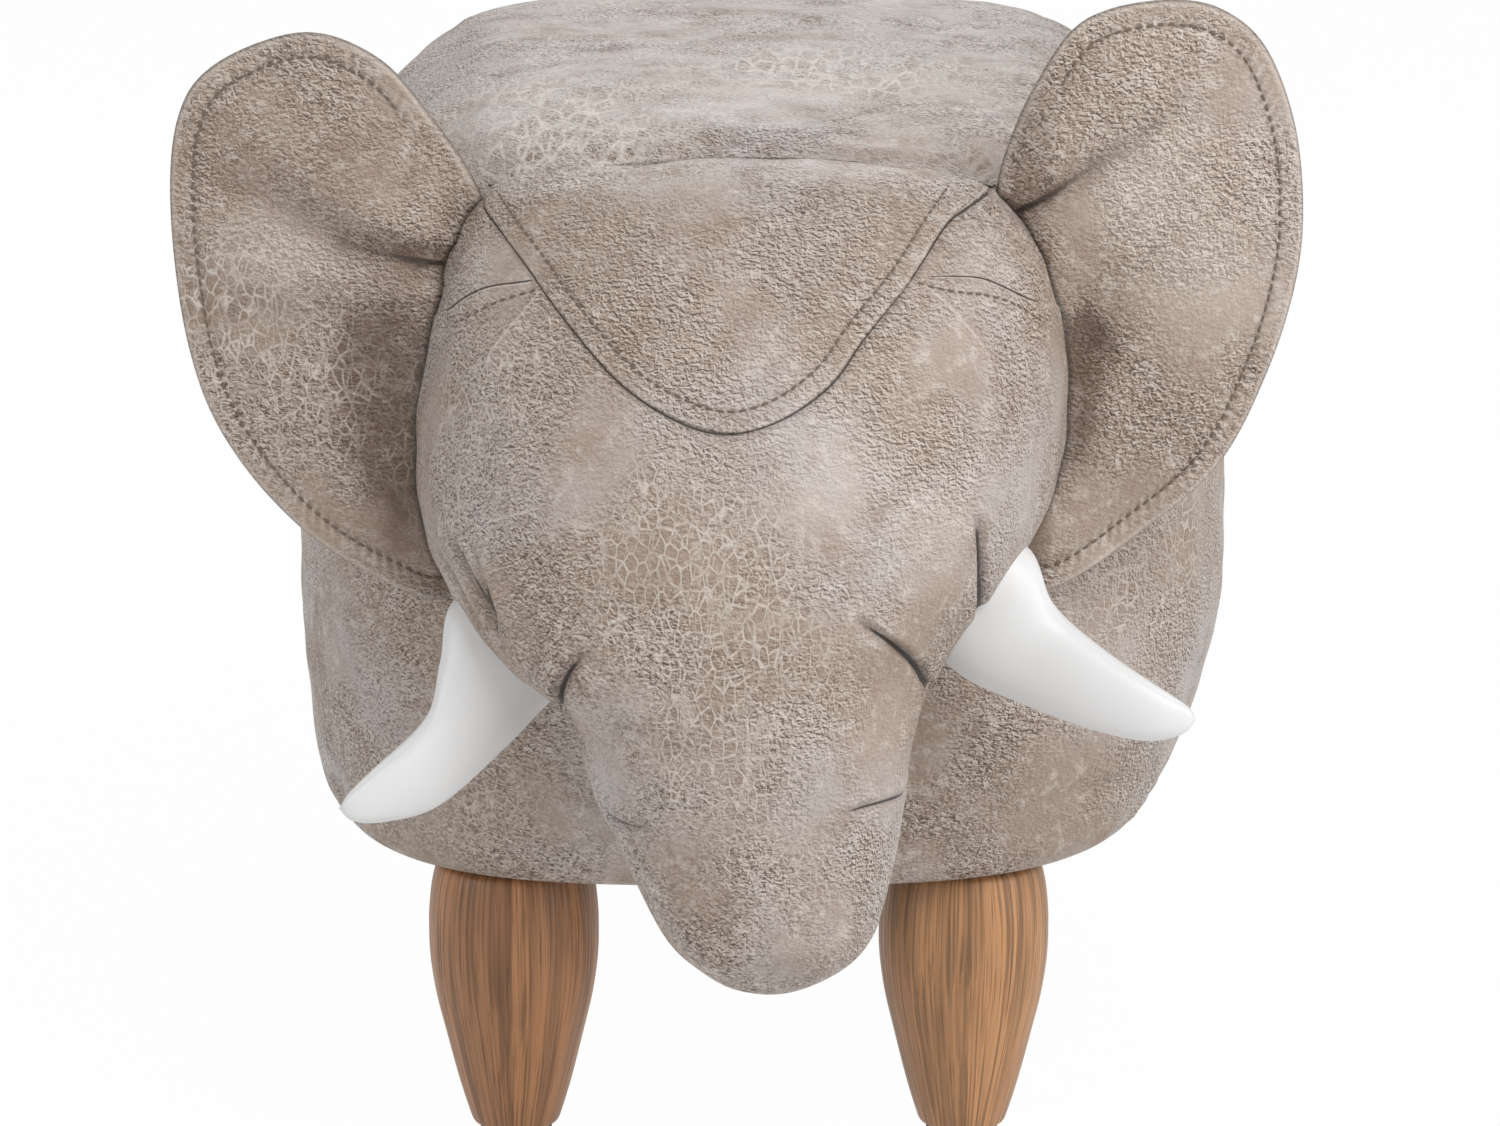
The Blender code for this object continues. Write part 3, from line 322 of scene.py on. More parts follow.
class HideLook(bpy.types.PropertyGroup):
    """Colours of the hide and its thread."""

    grey: FloatVectorProperty(
        name="Grey", description="Worn, greyer hide", subtype="COLOR", default=(0.442, 0.386, 0.362))
    taupe: FloatVectorProperty(
        name="Taupe", description="Main colour", subtype="COLOR", default=(0.385, 0.302, 0.245))
    brown: FloatVectorProperty(
        name="Brown", description="Darker clouds", subtype="COLOR", default=(0.25, 0.175, 0.125))
    # Painted shade on the shaded sides of the grain, and the fine dark speckle
    pit: FloatVectorProperty(
        name="Pit", description="Pits of the grain", subtype="COLOR", default=(0.075, 0.05, 0.036))
    # Painted shade: the colour laid into folds, seams, stitch grooves and where the ears meet the head
    crease: FloatVectorProperty(
        name="Crease", description="Folds and joints", subtype="COLOR", default=(0.02, 0.013, 0.009))
    # Painted shade in the ear hollows and along the pleats
    shade: FloatVectorProperty(
        name="Shade", description="Stained hollows", subtype="COLOR", default=(0.112, 0.066, 0.041))
    # Pale crackle, and the colour of painted highlights on the grain, edges and sheen spots
    vein_and_highlight: FloatVectorProperty(
        name="Vein", description="Pale crackle", subtype="COLOR", default=(0.70, 0.63, 0.575))
    white: FloatVectorProperty(
        name="White", description="Tusks", subtype="COLOR", default=(0.76, 0.77, 0.785))
    thread: FloatVectorProperty(
        name="Thread", description="Stitches", subtype="COLOR", default=(0.13, 0.095, 0.07))


class WoodLook(bpy.types.PropertyGroup):
    """Colours of the legs and boards."""

    # The left legs take a darker copy of the oak colour than the right legs
    dark: FloatVectorProperty(
        name="Dark oak", description="Left legs", subtype="COLOR", default=(0.340, 0.160, 0.069))
    golden: FloatVectorProperty(
        name="Golden oak", description="Right legs", subtype="COLOR", default=(0.375, 0.190, 0.084))
    birch: FloatVectorProperty(
        name="Birch ply", description="Boards", subtype="COLOR", default=(0.56, 0.42, 0.27))


class SewingSizes(bpy.types.PropertyGroup):
    """Sizes of the stitches."""

    stitch: FloatProperty(
        name="Stitch", description="Length of one stitch", default=0.0026, unit="LENGTH")
    pitch: FloatProperty(
        name="Pitch", description="Stitch and gap together", default=0.0036, unit="LENGTH")
    thread: FloatProperty(
        name="Thread", description="Radius of the thread", default=0.0005, unit="LENGTH")


class PaddingPlan(bpy.types.PropertyGroup):
    """How the padded pieces swell."""

    seat_pressure: FloatProperty(
        name="Seat pressure", description="Push of the foam under the seat", default=3.0)
    body_pressure: FloatProperty(
        name="Body pressure", description="Push of the padding round the body", default=2.0)
    seat_swell: FloatProperty(
        name="Seat swell", description="Most that the seat may swell", default=0.004, unit="LENGTH")
    body_swell: FloatProperty(
        name="Body swell", description="Most that the body may swell", default=0.003, unit="LENGTH")


class StagePlan(bpy.types.PropertyGroup):
    """Camera and light."""

    camera: FloatVectorProperty(
        name="Camera", description="Camera's place", subtype="TRANSLATION", default=(0.004, -1.99, 0.72))
    pitch: FloatProperty(
        name="Pitch", description="Angle below level", default=math.radians(15.05), unit="ROTATION")
    focal: FloatProperty(name="Focal length", description="On a 36 mm sensor", default=134.9)
    key: FloatProperty(
        name="Key light", description="Power of the main lamp", default=22.0, unit="POWER")


class PoufSettings(bpy.types.PropertyGroup):
    """All that a user would change."""

    hide: PointerProperty(type=HideLook)
    wood: PointerProperty(type=WoodLook)
    padding: PointerProperty(type=PaddingPlan)
    sewing: PointerProperty(type=SewingSizes)
    stage: PointerProperty(type=StagePlan)


def settings():
    return bpy.context.scene.pouf


# Curves and tables


def smooth_table(rows, spread=0.004):
    """A softened curve through (height, value) rows, as a function of the height."""
    rows = np.array(sorted(rows))
    step = 0.0005
    heights = np.arange(rows[0, 0] - 0.02, rows[-1, 0] + 0.02, step)
    values = np.interp(heights, rows[:, 0], rows[:, 1])
    reach = int(3 * spread / step)
    weights = np.exp(-0.5 * (np.arange(-reach, reach + 1) * step / spread) ** 2)
    values = np.convolve(np.pad(values, reach, mode="edge"), weights / weights.sum(), mode="valid")
    return lambda height: np.interp(height, heights, values)


def through(points, steps=12, closed=False):
    """Points along a Catmull-Rom curve through a few given ones."""
    points = np.array(points, float)
    if closed:
        points = np.vstack((points[-1:], points, points[:2]))
    else:
        points = np.vstack((2 * points[:1] - points[1:2], points, 2 * points[-1:] - points[-2:-1]))
    curve = []
    for a, b, c, d in zip(points, points[1:], points[2:], points[3:]):
        for share in np.arange(steps) / steps:
            bend = 2 * a - 5 * b + 4 * c - d
            twist = 3 * (b - c) + d - a
            curve.append(0.5 * (2 * b + share * (c - a) + share**2 * bend + share**3 * twist))
    if not closed:
        curve.append(points[-2])
    return np.array(curve)


def ease(low, high, value):
    share = np.clip((value - low) / (high - low), 0, 1)
    return share * share * (3 - 2 * share)


def bell(gap, width):
    """One on a line or in the middle of a spot, and almost nothing at twice the width."""
    return np.exp(-((gap / width) ** 2))


def near(path, places):
    """Distance from each place to a path, the share along it and the side it lies on (2-D paths)."""
    best = np.full(len(places), 1e9)
    share = np.zeros(len(places))
    side = np.zeros(len(places))
    lengths = np.linalg.norm(np.diff(path, axis=0), axis=1)
    starts = np.concatenate(([0], np.cumsum(lengths)))
    for a, b, length, start in zip(path, path[1:], lengths, starts):
        way = (b - a) / max(length, 1e-9)
        offset = places - a
        along = np.clip(offset @ way, 0, length)
        gap = offset - along[:, None] * way
        distance = np.linalg.norm(gap, axis=1)
        closer = distance < best
        best = np.where(closer, distance, best)
        share = np.where(closer, (start + along) / starts[-1], share)
        if path.shape[1] == 2:
            turn = way[0] * offset[:, 1] - way[1] * offset[:, 0]
            side = np.where(closer, np.sign(turn), side)
    return best, share, side


# Meshes and pieces


def new_piece(name, points, faces, material, body, replaces=()):
    """A smooth mesh object that rides on a body and takes its finish from a slot."""
    mesh = bpy.data.meshes.new(name)
    mesh.from_pydata([tuple(p) for p in points], [], faces)
    mesh.validate()
    piece = bpy.data.objects.new(name, mesh)
    bpy.context.scene.collection.objects.link(piece)
    tidy_normals(mesh)
    return dress(piece, material, body, replaces)


def tidy_normals(mesh):
    form = bmesh.new()
    form.from_mesh(mesh)
    bmesh.ops.remove_doubles(form, verts=form.verts, dist=1e-6)
    bmesh.ops.recalc_face_normals(form, faces=form.faces)
    form.to_mesh(mesh)
    form.free()
    mesh.shade_smooth()


def dress(piece, material, body, replaces=()):
    piece.data.materials.clear()
    piece.data.materials.append(material)
    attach(piece, body)
    if replaces:
        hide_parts(*replaces)
    return piece


def rings_to_faces(rows, columns, first=0):
    """Quads between closed rings of points."""
    faces = []
    for row in range(rows - 1):
        low, high = first + row * columns, first + (row + 1) * columns
        for i in range(columns):
            j = (i + 1) % columns
            faces.append((low + i, low + j, high + j, high + i))
    return faces


def closed_tube(rows, columns):
    """Faces of rings of points with both ends closed."""
    faces = rings_to_faces(rows, columns)
    faces.append(tuple(range(columns)))
    faces.append(tuple(reversed(range((rows - 1) * columns, rows * columns))))
    return faces


def fan(first, columns, centre):
    """Triangles from a closed ring of points to one point."""
    return [(first + i, first + (i + 1) % columns, centre) for i in range(columns)]


def grid_normals(grid):
    """Normals of a grid of rows that close around."""
    across = np.roll(grid, -1, axis=1) - np.roll(grid, 1, axis=1)
    down = np.gradient(grid, axis=0)
    normal = np.cross(down, across)
    return normal / np.maximum(np.linalg.norm(normal, axis=2, keepdims=True), 1e-12)


def mark(piece, name, values):
    """Store a number on each point for the material to read."""
    layer = piece.data.attributes.new(name, "FLOAT", "POINT")
    layer.data.foreach_set("value", np.asarray(values, np.float32))


def point_array(piece):
    flat = np.zeros(len(piece.data.vertices) * 3)
    piece.data.vertices.foreach_get("co", flat)
    return flat.reshape(-1, 3)


# Materials


def node(tree, kind, values=None, **options):
    """Add a node; a value that is a socket is linked, any other is set on the input."""
    made = tree.nodes.new(kind)
    for key, value in options.items():
        setattr(made, key, value)
    for key, value in (values or {}).items():
        if isinstance(value, bpy.types.NodeSocket):
            tree.links.new(value, made.inputs[key])
        else:
            made.inputs[key].default_value = value
    return made


def result(tree, kind, values=None, **options):
    """Add a node and give its first output."""
    return node(tree, kind, values, **options).outputs[0]


def start_material(name):
    old = bpy.data.materials.get(name)
    if old:
        return old, None, None
    material = bpy.data.materials.new(name)
    material.use_nodes = True
    tree = material.node_tree
    return material, tree, tree.nodes["Principled BSDF"]


def mixed(tree, factor, first, second, mode="MIX"):
    """A colour between two, or one laid on the other."""
    mix = tree.nodes.new("ShaderNodeMix")
    mix.data_type = "RGBA"
    mix.blend_type = mode
    for socket, value in zip((mix.inputs[0], mix.inputs[6], mix.inputs[7]), (factor, first, second)):
        if isinstance(value, bpy.types.NodeSocket):
            tree.links.new(value, socket)
        else:
            socket.default_value = value if isinstance(value, (int, float)) else (*value, 1)[:4]
    return mix.outputs[2]


def ramp(tree, value, low, high, to_low=0.0, to_high=1.0):
    """A value stretched from one range to another, held at the ends."""
    values = {"Value": value, "From Min": low, "From Max": high, "To Min": to_low, "To Max": to_high}
    return result(tree, "ShaderNodeMapRange", values)


def maths(tree, operation, first, second):
    return result(tree, "ShaderNodeMath", {0: first, 1: second}, operation=operation)


def object_place(tree, scale=(1, 1, 1), shift=(0, 0, 0)):
    place = node(tree, "ShaderNodeTexCoord").outputs["Object"]
    return result(tree, "ShaderNodeMapping", {"Vector": place, "Scale": scale, "Location": shift})


def shifted(tree, place, by, amount):
    """A place moved a little by a noise."""
    return result(tree, "ShaderNodeVectorMath", {0: by, 1: amount, 2: place}, operation="MULTIPLY_ADD")


def noise(tree, place, scale, detail=2.0, roughness=0.5):
    values = {"Vector": place, "Scale": scale, "Detail": detail, "Roughness": roughness}
    return result(tree, "ShaderNodeTexNoise", values)


def cells(tree, place, scale, random=1.0):
    """Distance to the edges of the cells that cover a surface."""
    values = {"Vector": place, "Scale": scale, "Randomness": random}
    return node(tree, "ShaderNodeTexVoronoi", values, feature="DISTANCE_TO_EDGE").outputs["Distance"]


def bumped(tree, shader, height, distance, strength):
    bump = node(tree, "ShaderNodeBump", {"Height": height, "Distance": distance, "Strength": strength})
    tree.links.new(bump.outputs[0], shader.inputs["Normal"])


def grain_with_painted_relief(tree, scale, shift):
    """Grain pressed into the hide, with painted light and shade on it: the difference between a noise and
    the same noise moved a little lightens one side of each bump and darkens the other.
    """
    sides = []
    for move in ((0, 0, 0), shift):
        values = {"Vector": object_place(tree, scale, move), "Scale": 1.0, "Detail": 1.6, "Distortion": 0.7}
        sides.append(result(tree, "ShaderNodeTexNoise", values))
    return sides[0], maths(tree, "SUBTRACT", sides[0], sides[1])


def scratch(tree, scale, width):
    """Thin lines where a stretched noise crosses its middle."""
    lines = noise(tree, object_place(tree, scale), 1.0, 2.0)
    return ramp(tree, size_of(tree, maths(tree, "SUBTRACT", lines, 0.5)), width * 0.3, width, 0.5, 0.0)


def size_of(tree, value):
    return result(tree, "ShaderNodeMath", {0: value}, operation="ABSOLUTE")


def attribute(tree, name):
    return node(tree, "ShaderNodeAttribute", attribute_name=name).outputs["Fac"]


def hide_finish():
    """Taupe hide: cloudy colour, pebbled grain with painted light and shade on it, painted shade in creases,
    seams and hollows, painted highlights on edges and sheen spots, and patches of pale crackle.
    """
    material, tree, shader = start_material("distressed_hide")
    if tree is None:
        return material
    look = settings().hide
    place = object_place(tree)
    wander = node(tree, "ShaderNodeTexNoise", {"Vector": place, "Scale": 150.0, "Detail": 2.0})
    upright = object_place(tree, (1, 0.8, 0.6))
    warp = shifted(tree, upright, wander.outputs["Color"], (0.0015, 0.0008, 0.0010))
    cloud = noise(tree, place, 15.0, 4.0, 0.55)
    blotch = noise(tree, place, 52.0, 4.0, 0.6)
    calm = noise(tree, object_place(tree, (1, 1, 1), (0.4, 0.2, 0.7)), 26.0, 3.0)
    grain, painted_grain_relief = grain_with_painted_relief(tree, (620, 620, 860), (0.14, 0.14, 0.26))
    fine = noise(tree, place, 1200.0, 2.0, 0.6)
    small = cells(tree, warp, 290.0, 0.9)
    large = cells(tree, object_place(tree, (1, 0.3, 0.6)), 175.0)
    speckle = noise(tree, place, 190.0, 3.0, 0.6)
    crackle, crease = attribute(tree, "crackle"), attribute(tree, "crease")
    rub, tan = attribute(tree, "rub"), attribute(tree, "tan")

    clouded = ramp(tree, cloud, 0.50, 0.75, -0.05, 0.35)
    patch = maths(tree, "ADD", ramp(tree, crackle, 0.0, 1.0, 0.0, 0.85), clouded)
    mask = maths(tree, "MULTIPLY", ramp(tree, patch, 0.20, 0.65), ramp(tree, blotch, 0.34, 0.50, 0.2, 1.0))
    broken = ramp(tree, speckle, 0.36, 0.56, 0.25, 1.0)
    on_seat = ramp(tree, tan, 0.0, 0.35, 1.0, 0.0)
    wide = maths(tree, "MULTIPLY", ramp(tree, large, 0.03, 0.16, 1.0, 0.0), on_seat)
    lines = maths(tree, "MAXIMUM", ramp(tree, small, 0.02, 0.11, 1.0, 0.0), wide)
    lines = maths(tree, "MULTIPLY", lines, broken)
    level_strokes = scratch(tree, (13, 13, 110), 0.010)
    strokes = maths(tree, "MAXIMUM", scratch(tree, (130, 130, 11), 0.013), level_strokes)
    veins = maths(tree, "MULTIPLY", maths(tree, "MAXIMUM", lines, strokes), mask)
    seat_tone = ramp(tree, on_seat, 0.0, 1.0, 0.0, 0.6)
    # Browner cells beside the crackle lines, darkest next to them: the cells' own brown, and painted shade
    # beside the raised lines
    crackle_brown_and_shade = maths(tree, "MAXIMUM", ramp(tree, small, 0.085, 0.25, 1.0, 0.2), seat_tone)
    crackle_brown_and_shade = maths(tree, "MULTIPLY", crackle_brown_and_shade, mask)

    worn = maths(tree, "SUBTRACT", ramp(tree, cloud, 0.36, 0.64, 1.15, 0.15), tan)
    colour = mixed(tree, ramp(tree, worn, 0.0, 0.8), look.taupe, look.grey)
    browner = maths(tree, "MULTIPLY", ramp(tree, cloud, 0.46, 0.70), ramp(tree, tan, 0.0, 1.0, 0.25, 0.75))
    colour = mixed(tree, browner, colour, look.brown)
    colour = mixed(tree, ramp(tree, blotch, 0.52, 0.74, 0.0, 0.65), colour, look.brown)
    lively = ramp(tree, calm, 0.40, 0.60, 0.2, 1.0)
    spots = maths(tree, "MULTIPLY", ramp(tree, speckle, 0.53, 0.68, 0.0, 0.6), lively)
    colour = mixed(tree, spots, colour, look.brown)
    colour = mixed(tree, ramp(tree, speckle, 0.46, 0.32, 0.0, 0.4), colour, look.vein_and_highlight)
    # Tan above one mixes in the painted shade of the ear hollows
    colour = mixed(tree, ramp(tree, tan, 1.0, 2.0, 0.0, 0.9), colour, look.shade)
    colour = mixed(tree, ramp(tree, crackle_brown_and_shade, 0.0, 1.0, 0.0, 0.60), colour, look.brown)
    depth = ramp(tree, calm, 0.36, 0.58, 0.22, 1.0)
    # Painted highlight on the lit side of each grain bump and painted shade on the other side; fewer
    # highlights in the painted hollow shade
    grain_highlight = maths(tree, "MULTIPLY", ramp(tree, painted_grain_relief, 0.02, 0.13, 0.0, 0.62), depth)
    grain_highlight = maths(tree, "MULTIPLY", grain_highlight, ramp(tree, tan, 1.0, 2.0, 1.0, 0.15))
    grain_shade = maths(tree, "MULTIPLY", ramp(tree, painted_grain_relief, -0.01, -0.12, 0.0, 0.92), depth)
    colour = mixed(tree, grain_highlight, colour, look.vein_and_highlight)
    colour = mixed(tree, grain_shade, colour, look.pit)
    colour = mixed(tree, ramp(tree, fine, 0.55, 0.75, 0.0, 0.22), colour, look.pit)
    bright = maths(tree, "MULTIPLY", veins, ramp(tree, on_seat, 0.0, 1.0, 0.66, 0.9))
    colour = mixed(tree, bright, colour, look.vein_and_highlight)

    # Painted shade along the fine seam and fold lines, with a painted highlight on the lip beside them
    off, there = attribute(tree, "seam"), attribute(tree, "seam_there")
    seam_shade_line = ramp(tree, size_of(tree, off), 0.25, 0.65, 1.0, 0.0)
    line = maths(tree, "MULTIPLY", seam_shade_line, ramp(tree, there, 0.0, 1.0))
    lip = maths(tree, "MULTIPLY", ramp(tree, off, 0.6, 1.0), ramp(tree, off, 1.1, 1.9, 1.0, 0.0))
    lip = maths(tree, "MULTIPLY", lip, ramp(tree, there, 1.0, 2.0))
    scar = ramp(tree, size_of(tree, attribute(tree, "scar")), 0.1, 0.5, 1.0, 0.0)
    scar = maths(tree, "MULTIPLY", scar, attribute(tree, "scar_there"))
    # Pale scars, rubbed places and painted highlights on lips, rims and sheen spots
    lit = maths(tree, "MAXIMUM", lip, maths(tree, "MAXIMUM", scar, rub))
    colour = mixed(tree, ramp(tree, lit, 0.0, 1.0, 0.0, 0.7), colour, look.vein_and_highlight)
    # Painted shade in creases and seams, and along the fine dark lines
    dark = maths(tree, "MAXIMUM", line, crease)
    colour = mixed(tree, ramp(tree, dark, 0.0, 1.0, 0.0, 0.94), colour, look.crease)
    tree.links.new(colour, shader.inputs["Base Color"])
    tree.links.new(ramp(tree, blotch, 0.35, 0.65, 0.40, 0.60), shader.inputs["Roughness"])
    shader.inputs["Specular IOR Level"].default_value = 0.45

    height = maths(tree, "MULTIPLY", ramp(tree, grain, 0.30, 0.70, -0.5, 0.5), depth)
    height = maths(tree, "ADD", height, ramp(tree, fine, 0.3, 0.7, -0.1, 0.1))
    height = maths(tree, "ADD", height, ramp(tree, veins, 0.0, 1.0, 0.0, 0.6))
    bumped(tree, shader, height, 0.00035, 0.8)
    return material


def white_finish():
    """White hide of the tusks, with a faint grain, soft grey clouds and painted shade along the seam."""
    material, tree, shader = start_material("white_hide")
    if tree is None:
        return material
    look = settings().hide
    place = object_place(tree)
    crease = attribute(tree, "crease")
    cloud = noise(tree, place, 40.0, 3.0)
    grain = noise(tree, place, 700.0, 2.0)
    colour = mixed(tree, ramp(tree, cloud, 0.35, 0.7, 0.0, 0.25), look.white, (0.66, 0.67, 0.68))
    # Painted shade along the seam
    colour = mixed(tree, ramp(tree, crease, 0.0, 1.0, 0.0, 0.6), colour, (0.30, 0.29, 0.28))
    tree.links.new(colour, shader.inputs["Base Color"])
    tree.links.new(ramp(tree, cloud, 0.3, 0.7, 0.38, 0.5), shader.inputs["Roughness"])
    bumped(tree, shader, grain, 0.0002, 0.25)
    return material


def thread_finish():
    """Dark waxed thread with a twist."""
    material, tree, shader = start_material("dark_thread")
    if tree is None:
        return material
    thread = settings().hide.thread
    twist = noise(tree, object_place(tree), 1800.0, 2.0)
    colour = mixed(tree, ramp(tree, twist, 0.35, 0.65, 0.0, 0.6), thread, [1.7 * part for part in thread])
    tree.links.new(colour, shader.inputs["Base Color"])
    shader.inputs["Roughness"].default_value = 0.7
    bumped(tree, shader, twist, 0.0002, 0.4)
    return material


def oak_finish(name, tone, shift):
    """Turned oak: long grain, dark pores and a satin varnish."""
    material, tree, shader = start_material(name)
    if tree is None:
        return material
    sway = noise(tree, object_place(tree, (9, 9, 3), shift), 2.0, 2.0)
    turned = node(tree, "ShaderNodeAttribute", attribute_name="turned").outputs["Vector"]
    values = {"Vector": turned, "Scale": (1, 1, 0.02), "Location": shift}
    along = result(tree, "ShaderNodeMapping", values)
    bend = shifted(tree, along, sway, (0.012, 0.012, 0.0))
    rings = noise(tree, bend, 150.0, 4.0, 0.6)
    streak = noise(tree, bend, 620.0, 3.0, 0.65)
    pores = noise(tree, along, 1300.0, 2.0, 0.6)
    cloud = noise(tree, object_place(tree, (1, 1, 0.4), shift), 40.0, 3.0)
    deep = [0.40 * part for part in tone]
    light = [min(1.0, 1.5 * part) for part in tone]
    colour = mixed(tree, ramp(tree, rings, 0.40, 0.58), light, tone)
    colour = mixed(tree, ramp(tree, streak, 0.46, 0.62, 0.0, 0.75), colour, deep)
    colour = mixed(tree, ramp(tree, cloud, 0.45, 0.75, 0.0, 0.45), colour, deep)
    colour = mixed(tree, ramp(tree, pores, 0.60, 0.72, 0.0, 0.85), colour, [0.2 * part for part in tone])
    tree.links.new(colour, shader.inputs["Base Color"])
    tree.links.new(ramp(tree, streak, 0.3, 0.7, 0.40, 0.55), shader.inputs["Roughness"])
    bumped(tree, shader, maths(tree, "ADD", streak, pores), 0.0003, -0.35)
    return material


def ply_finish():
    """Birch plywood: pale streaked faces and thin layers at the edges."""
    material, tree, shader = start_material("birch_plywood")
    if tree is None:
        return material
    birch = settings().wood.birch
    streak = noise(tree, object_place(tree, (1, 0.08, 1)), 260.0, 4.0, 0.6)
    bands = {"Vector": object_place(tree), "Scale": 130.0, "Distortion": 0.4}
    layer = node(tree, "ShaderNodeTexWave", bands, bands_direction="Z").outputs["Fac"]
    colour = mixed(tree, ramp(tree, streak, 0.35, 0.7), birch, [0.72 * part for part in birch])
    colour = mixed(tree, ramp(tree, layer, 0.4, 0.6, 0.0, 0.25), colour, [0.55 * part for part in birch])
    tree.links.new(colour, shader.inputs["Base Color"])
    shader.inputs["Roughness"].default_value = 0.65
    bumped(tree, shader, streak, 0.0002, 0.3)
    return material


def weave_finish(name, tone, scale, roughness=0.85):
    """Plain woven cloth: threads that cross in all three planes."""
    material, tree, shader = start_material(name)
    if tree is None:
        return material
    place = object_place(tree)
    wave = {"Vector": place, "Scale": scale, "Distortion": 0.6, "Detail": 1.0}
    bands = [node(tree, "ShaderNodeTexWave", wave, bands_direction=axis).outputs["Fac"] for axis in "XYZ"]
    crossings = [maths(tree, "MULTIPLY", bands[i], bands[(i + 1) % 3]) for i in range(3)]
    weave = maths(tree, "ADD", maths(tree, "ADD", crossings[0], crossings[1]), crossings[2])
    cloud = noise(tree, place, 30.0, 4.0)
    colour = mixed(tree, ramp(tree, weave, 0.3, 1.4), [0.6 * part for part in tone], tone)
    colour = mixed(tree, ramp(tree, cloud, 0.4, 0.7, 0.0, 0.3), colour, [0.7 * part for part in tone])
    tree.links.new(colour, shader.inputs["Base Color"])
    shader.inputs["Roughness"].default_value = roughness
    bumped(tree, shader, weave, 0.0004, 0.6)
    return material


def steel_finish():
    """Brushed zinc-plated steel."""
    material, tree, shader = start_material("brushed_plate")
    if tree is None:
        return material
    brush = noise(tree, object_place(tree, (0.05, 1, 1)), 900.0, 3.0)
    cloud = noise(tree, object_place(tree), 90.0, 3.0)
    colour = mixed(tree, ramp(tree, cloud, 0.35, 0.7), (0.62, 0.62, 0.60), (0.46, 0.46, 0.45))
    tree.links.new(colour, shader.inputs["Base Color"])
    shader.inputs["Metallic"].default_value = 1.0
    tree.links.new(ramp(tree, brush, 0.3, 0.7, 0.24, 0.42), shader.inputs["Roughness"])
    bumped(tree, shader, brush, 0.0001, 0.2)
    return material


def dull_finish(name, tone, scale):
    """Felt or rubber: dark, rough and finely mottled."""
    material, tree, shader = start_material(name)
    if tree is None:
        return material
    fibre = noise(tree, object_place(tree), scale, 4.0, 0.7)
    colour = mixed(tree, ramp(tree, fibre, 0.35, 0.65), tone, [1.8 * part for part in tone])
    tree.links.new(colour, shader.inputs["Base Color"])
    shader.inputs["Roughness"].default_value = 0.9
    bumped(tree, shader, fibre, 0.0003, 0.5)
    return material


# Outlines of the body


def body_sides(z):
    """Reach to the left, right, front and rear of the body's middle at a height."""
    fullest = np.array((BODY_LEFT, BODY_RIGHT, BODY_HALF, BODY_HALF))
    bulge_z = RIM - BULGE_BELOW_RIM
    if z >= bulge_z:
        return fullest - RIM_TUCK * min(1, (z - bulge_z) / BULGE_BELOW_RIM) ** 2
    lowest = np.array((BOTTOM_HALF_WIDTH, BOTTOM_HALF_WIDTH, BODY_HALF - FRONT_TUCK, BODY_HALF - REAR_TUCK))
    share = min(1, (bulge_z - z) / (bulge_z - BODY_BOTTOM)) ** BULGE_POWER
    return fullest + (lowest - fullest) * share


def rays(columns):
    """Cosines and sines of evenly spread directions seen from above, counted from the front."""
    angle = np.linspace(0, 2 * math.pi, columns, endpoint=False) - math.pi / 2
    return np.cos(angle), np.sin(angle)


def outline_radius(sides, c, s):
    """Distance from the body's middle to a rounded outline, along some directions."""
    left, right, front, rear = sides
    across = np.where(c > 0, right, left)
    along = np.where(s < 0, front, rear)
    power = np.where(s < 0, FRONT_SQUARENESS, REAR_SQUARENESS)
    return ((np.abs(c) / across) ** power + (np.abs(s) / along) ** power) ** (-1 / power)


def outline(sides, columns):
    """A smooth outline seen from above, counted from the front."""
    c, s = rays(columns)
    radius = outline_radius(sides, c, s)
    return np.stack((radius * c, BODY_Y + radius * s), axis=1)


# Form of the face


def body_bow(x):
    """How far the body's front curves back at a distance from the middle."""
    across = np.where(x < 0, BODY_LEFT, BODY_RIGHT) - 0.002
    share = np.clip(np.abs(x) / across, 0, 0.999) ** FRONT_SQUARENESS
    return BODY_HALF * (1 - (1 - share) ** (1 / FRONT_SQUARENESS))


def face_front_line(z):
    share = np.clip((z - FULLEST_Z) / (HEAD_TOP - FULLEST_Z), 0, 1)
    fullness = (1 - share**HEAD_ROUNDING) ** (1 / HEAD_ROUNDING)
    depth = RIDGE_DEPTH + (HEAD_BACK - FACE_FRONT - RIDGE_DEPTH) * fullness
    top = np.clip((z - HEAD_TOP + RIDGE_FRONT_ROUND) / RIDGE_FRONT_ROUND, 0, 1)
    depth = depth - RIDGE_FRONT_ROUND * (1 - np.sqrt(1 - top**2))
    hang = np.clip((TRUNK_TOP - z) / (TRUNK_TOP - TRUNK_TIP), 0, 1)
    return HEAD_BACK - depth + TRUNK_SETBACK * hang**2


def ridge_fall(span):
    """How far the ridge drops from its middle towards its ends."""
    return RIDGE_DROP + RIDGE_SAG * span**2 + RIDGE_END_SAG * span**8


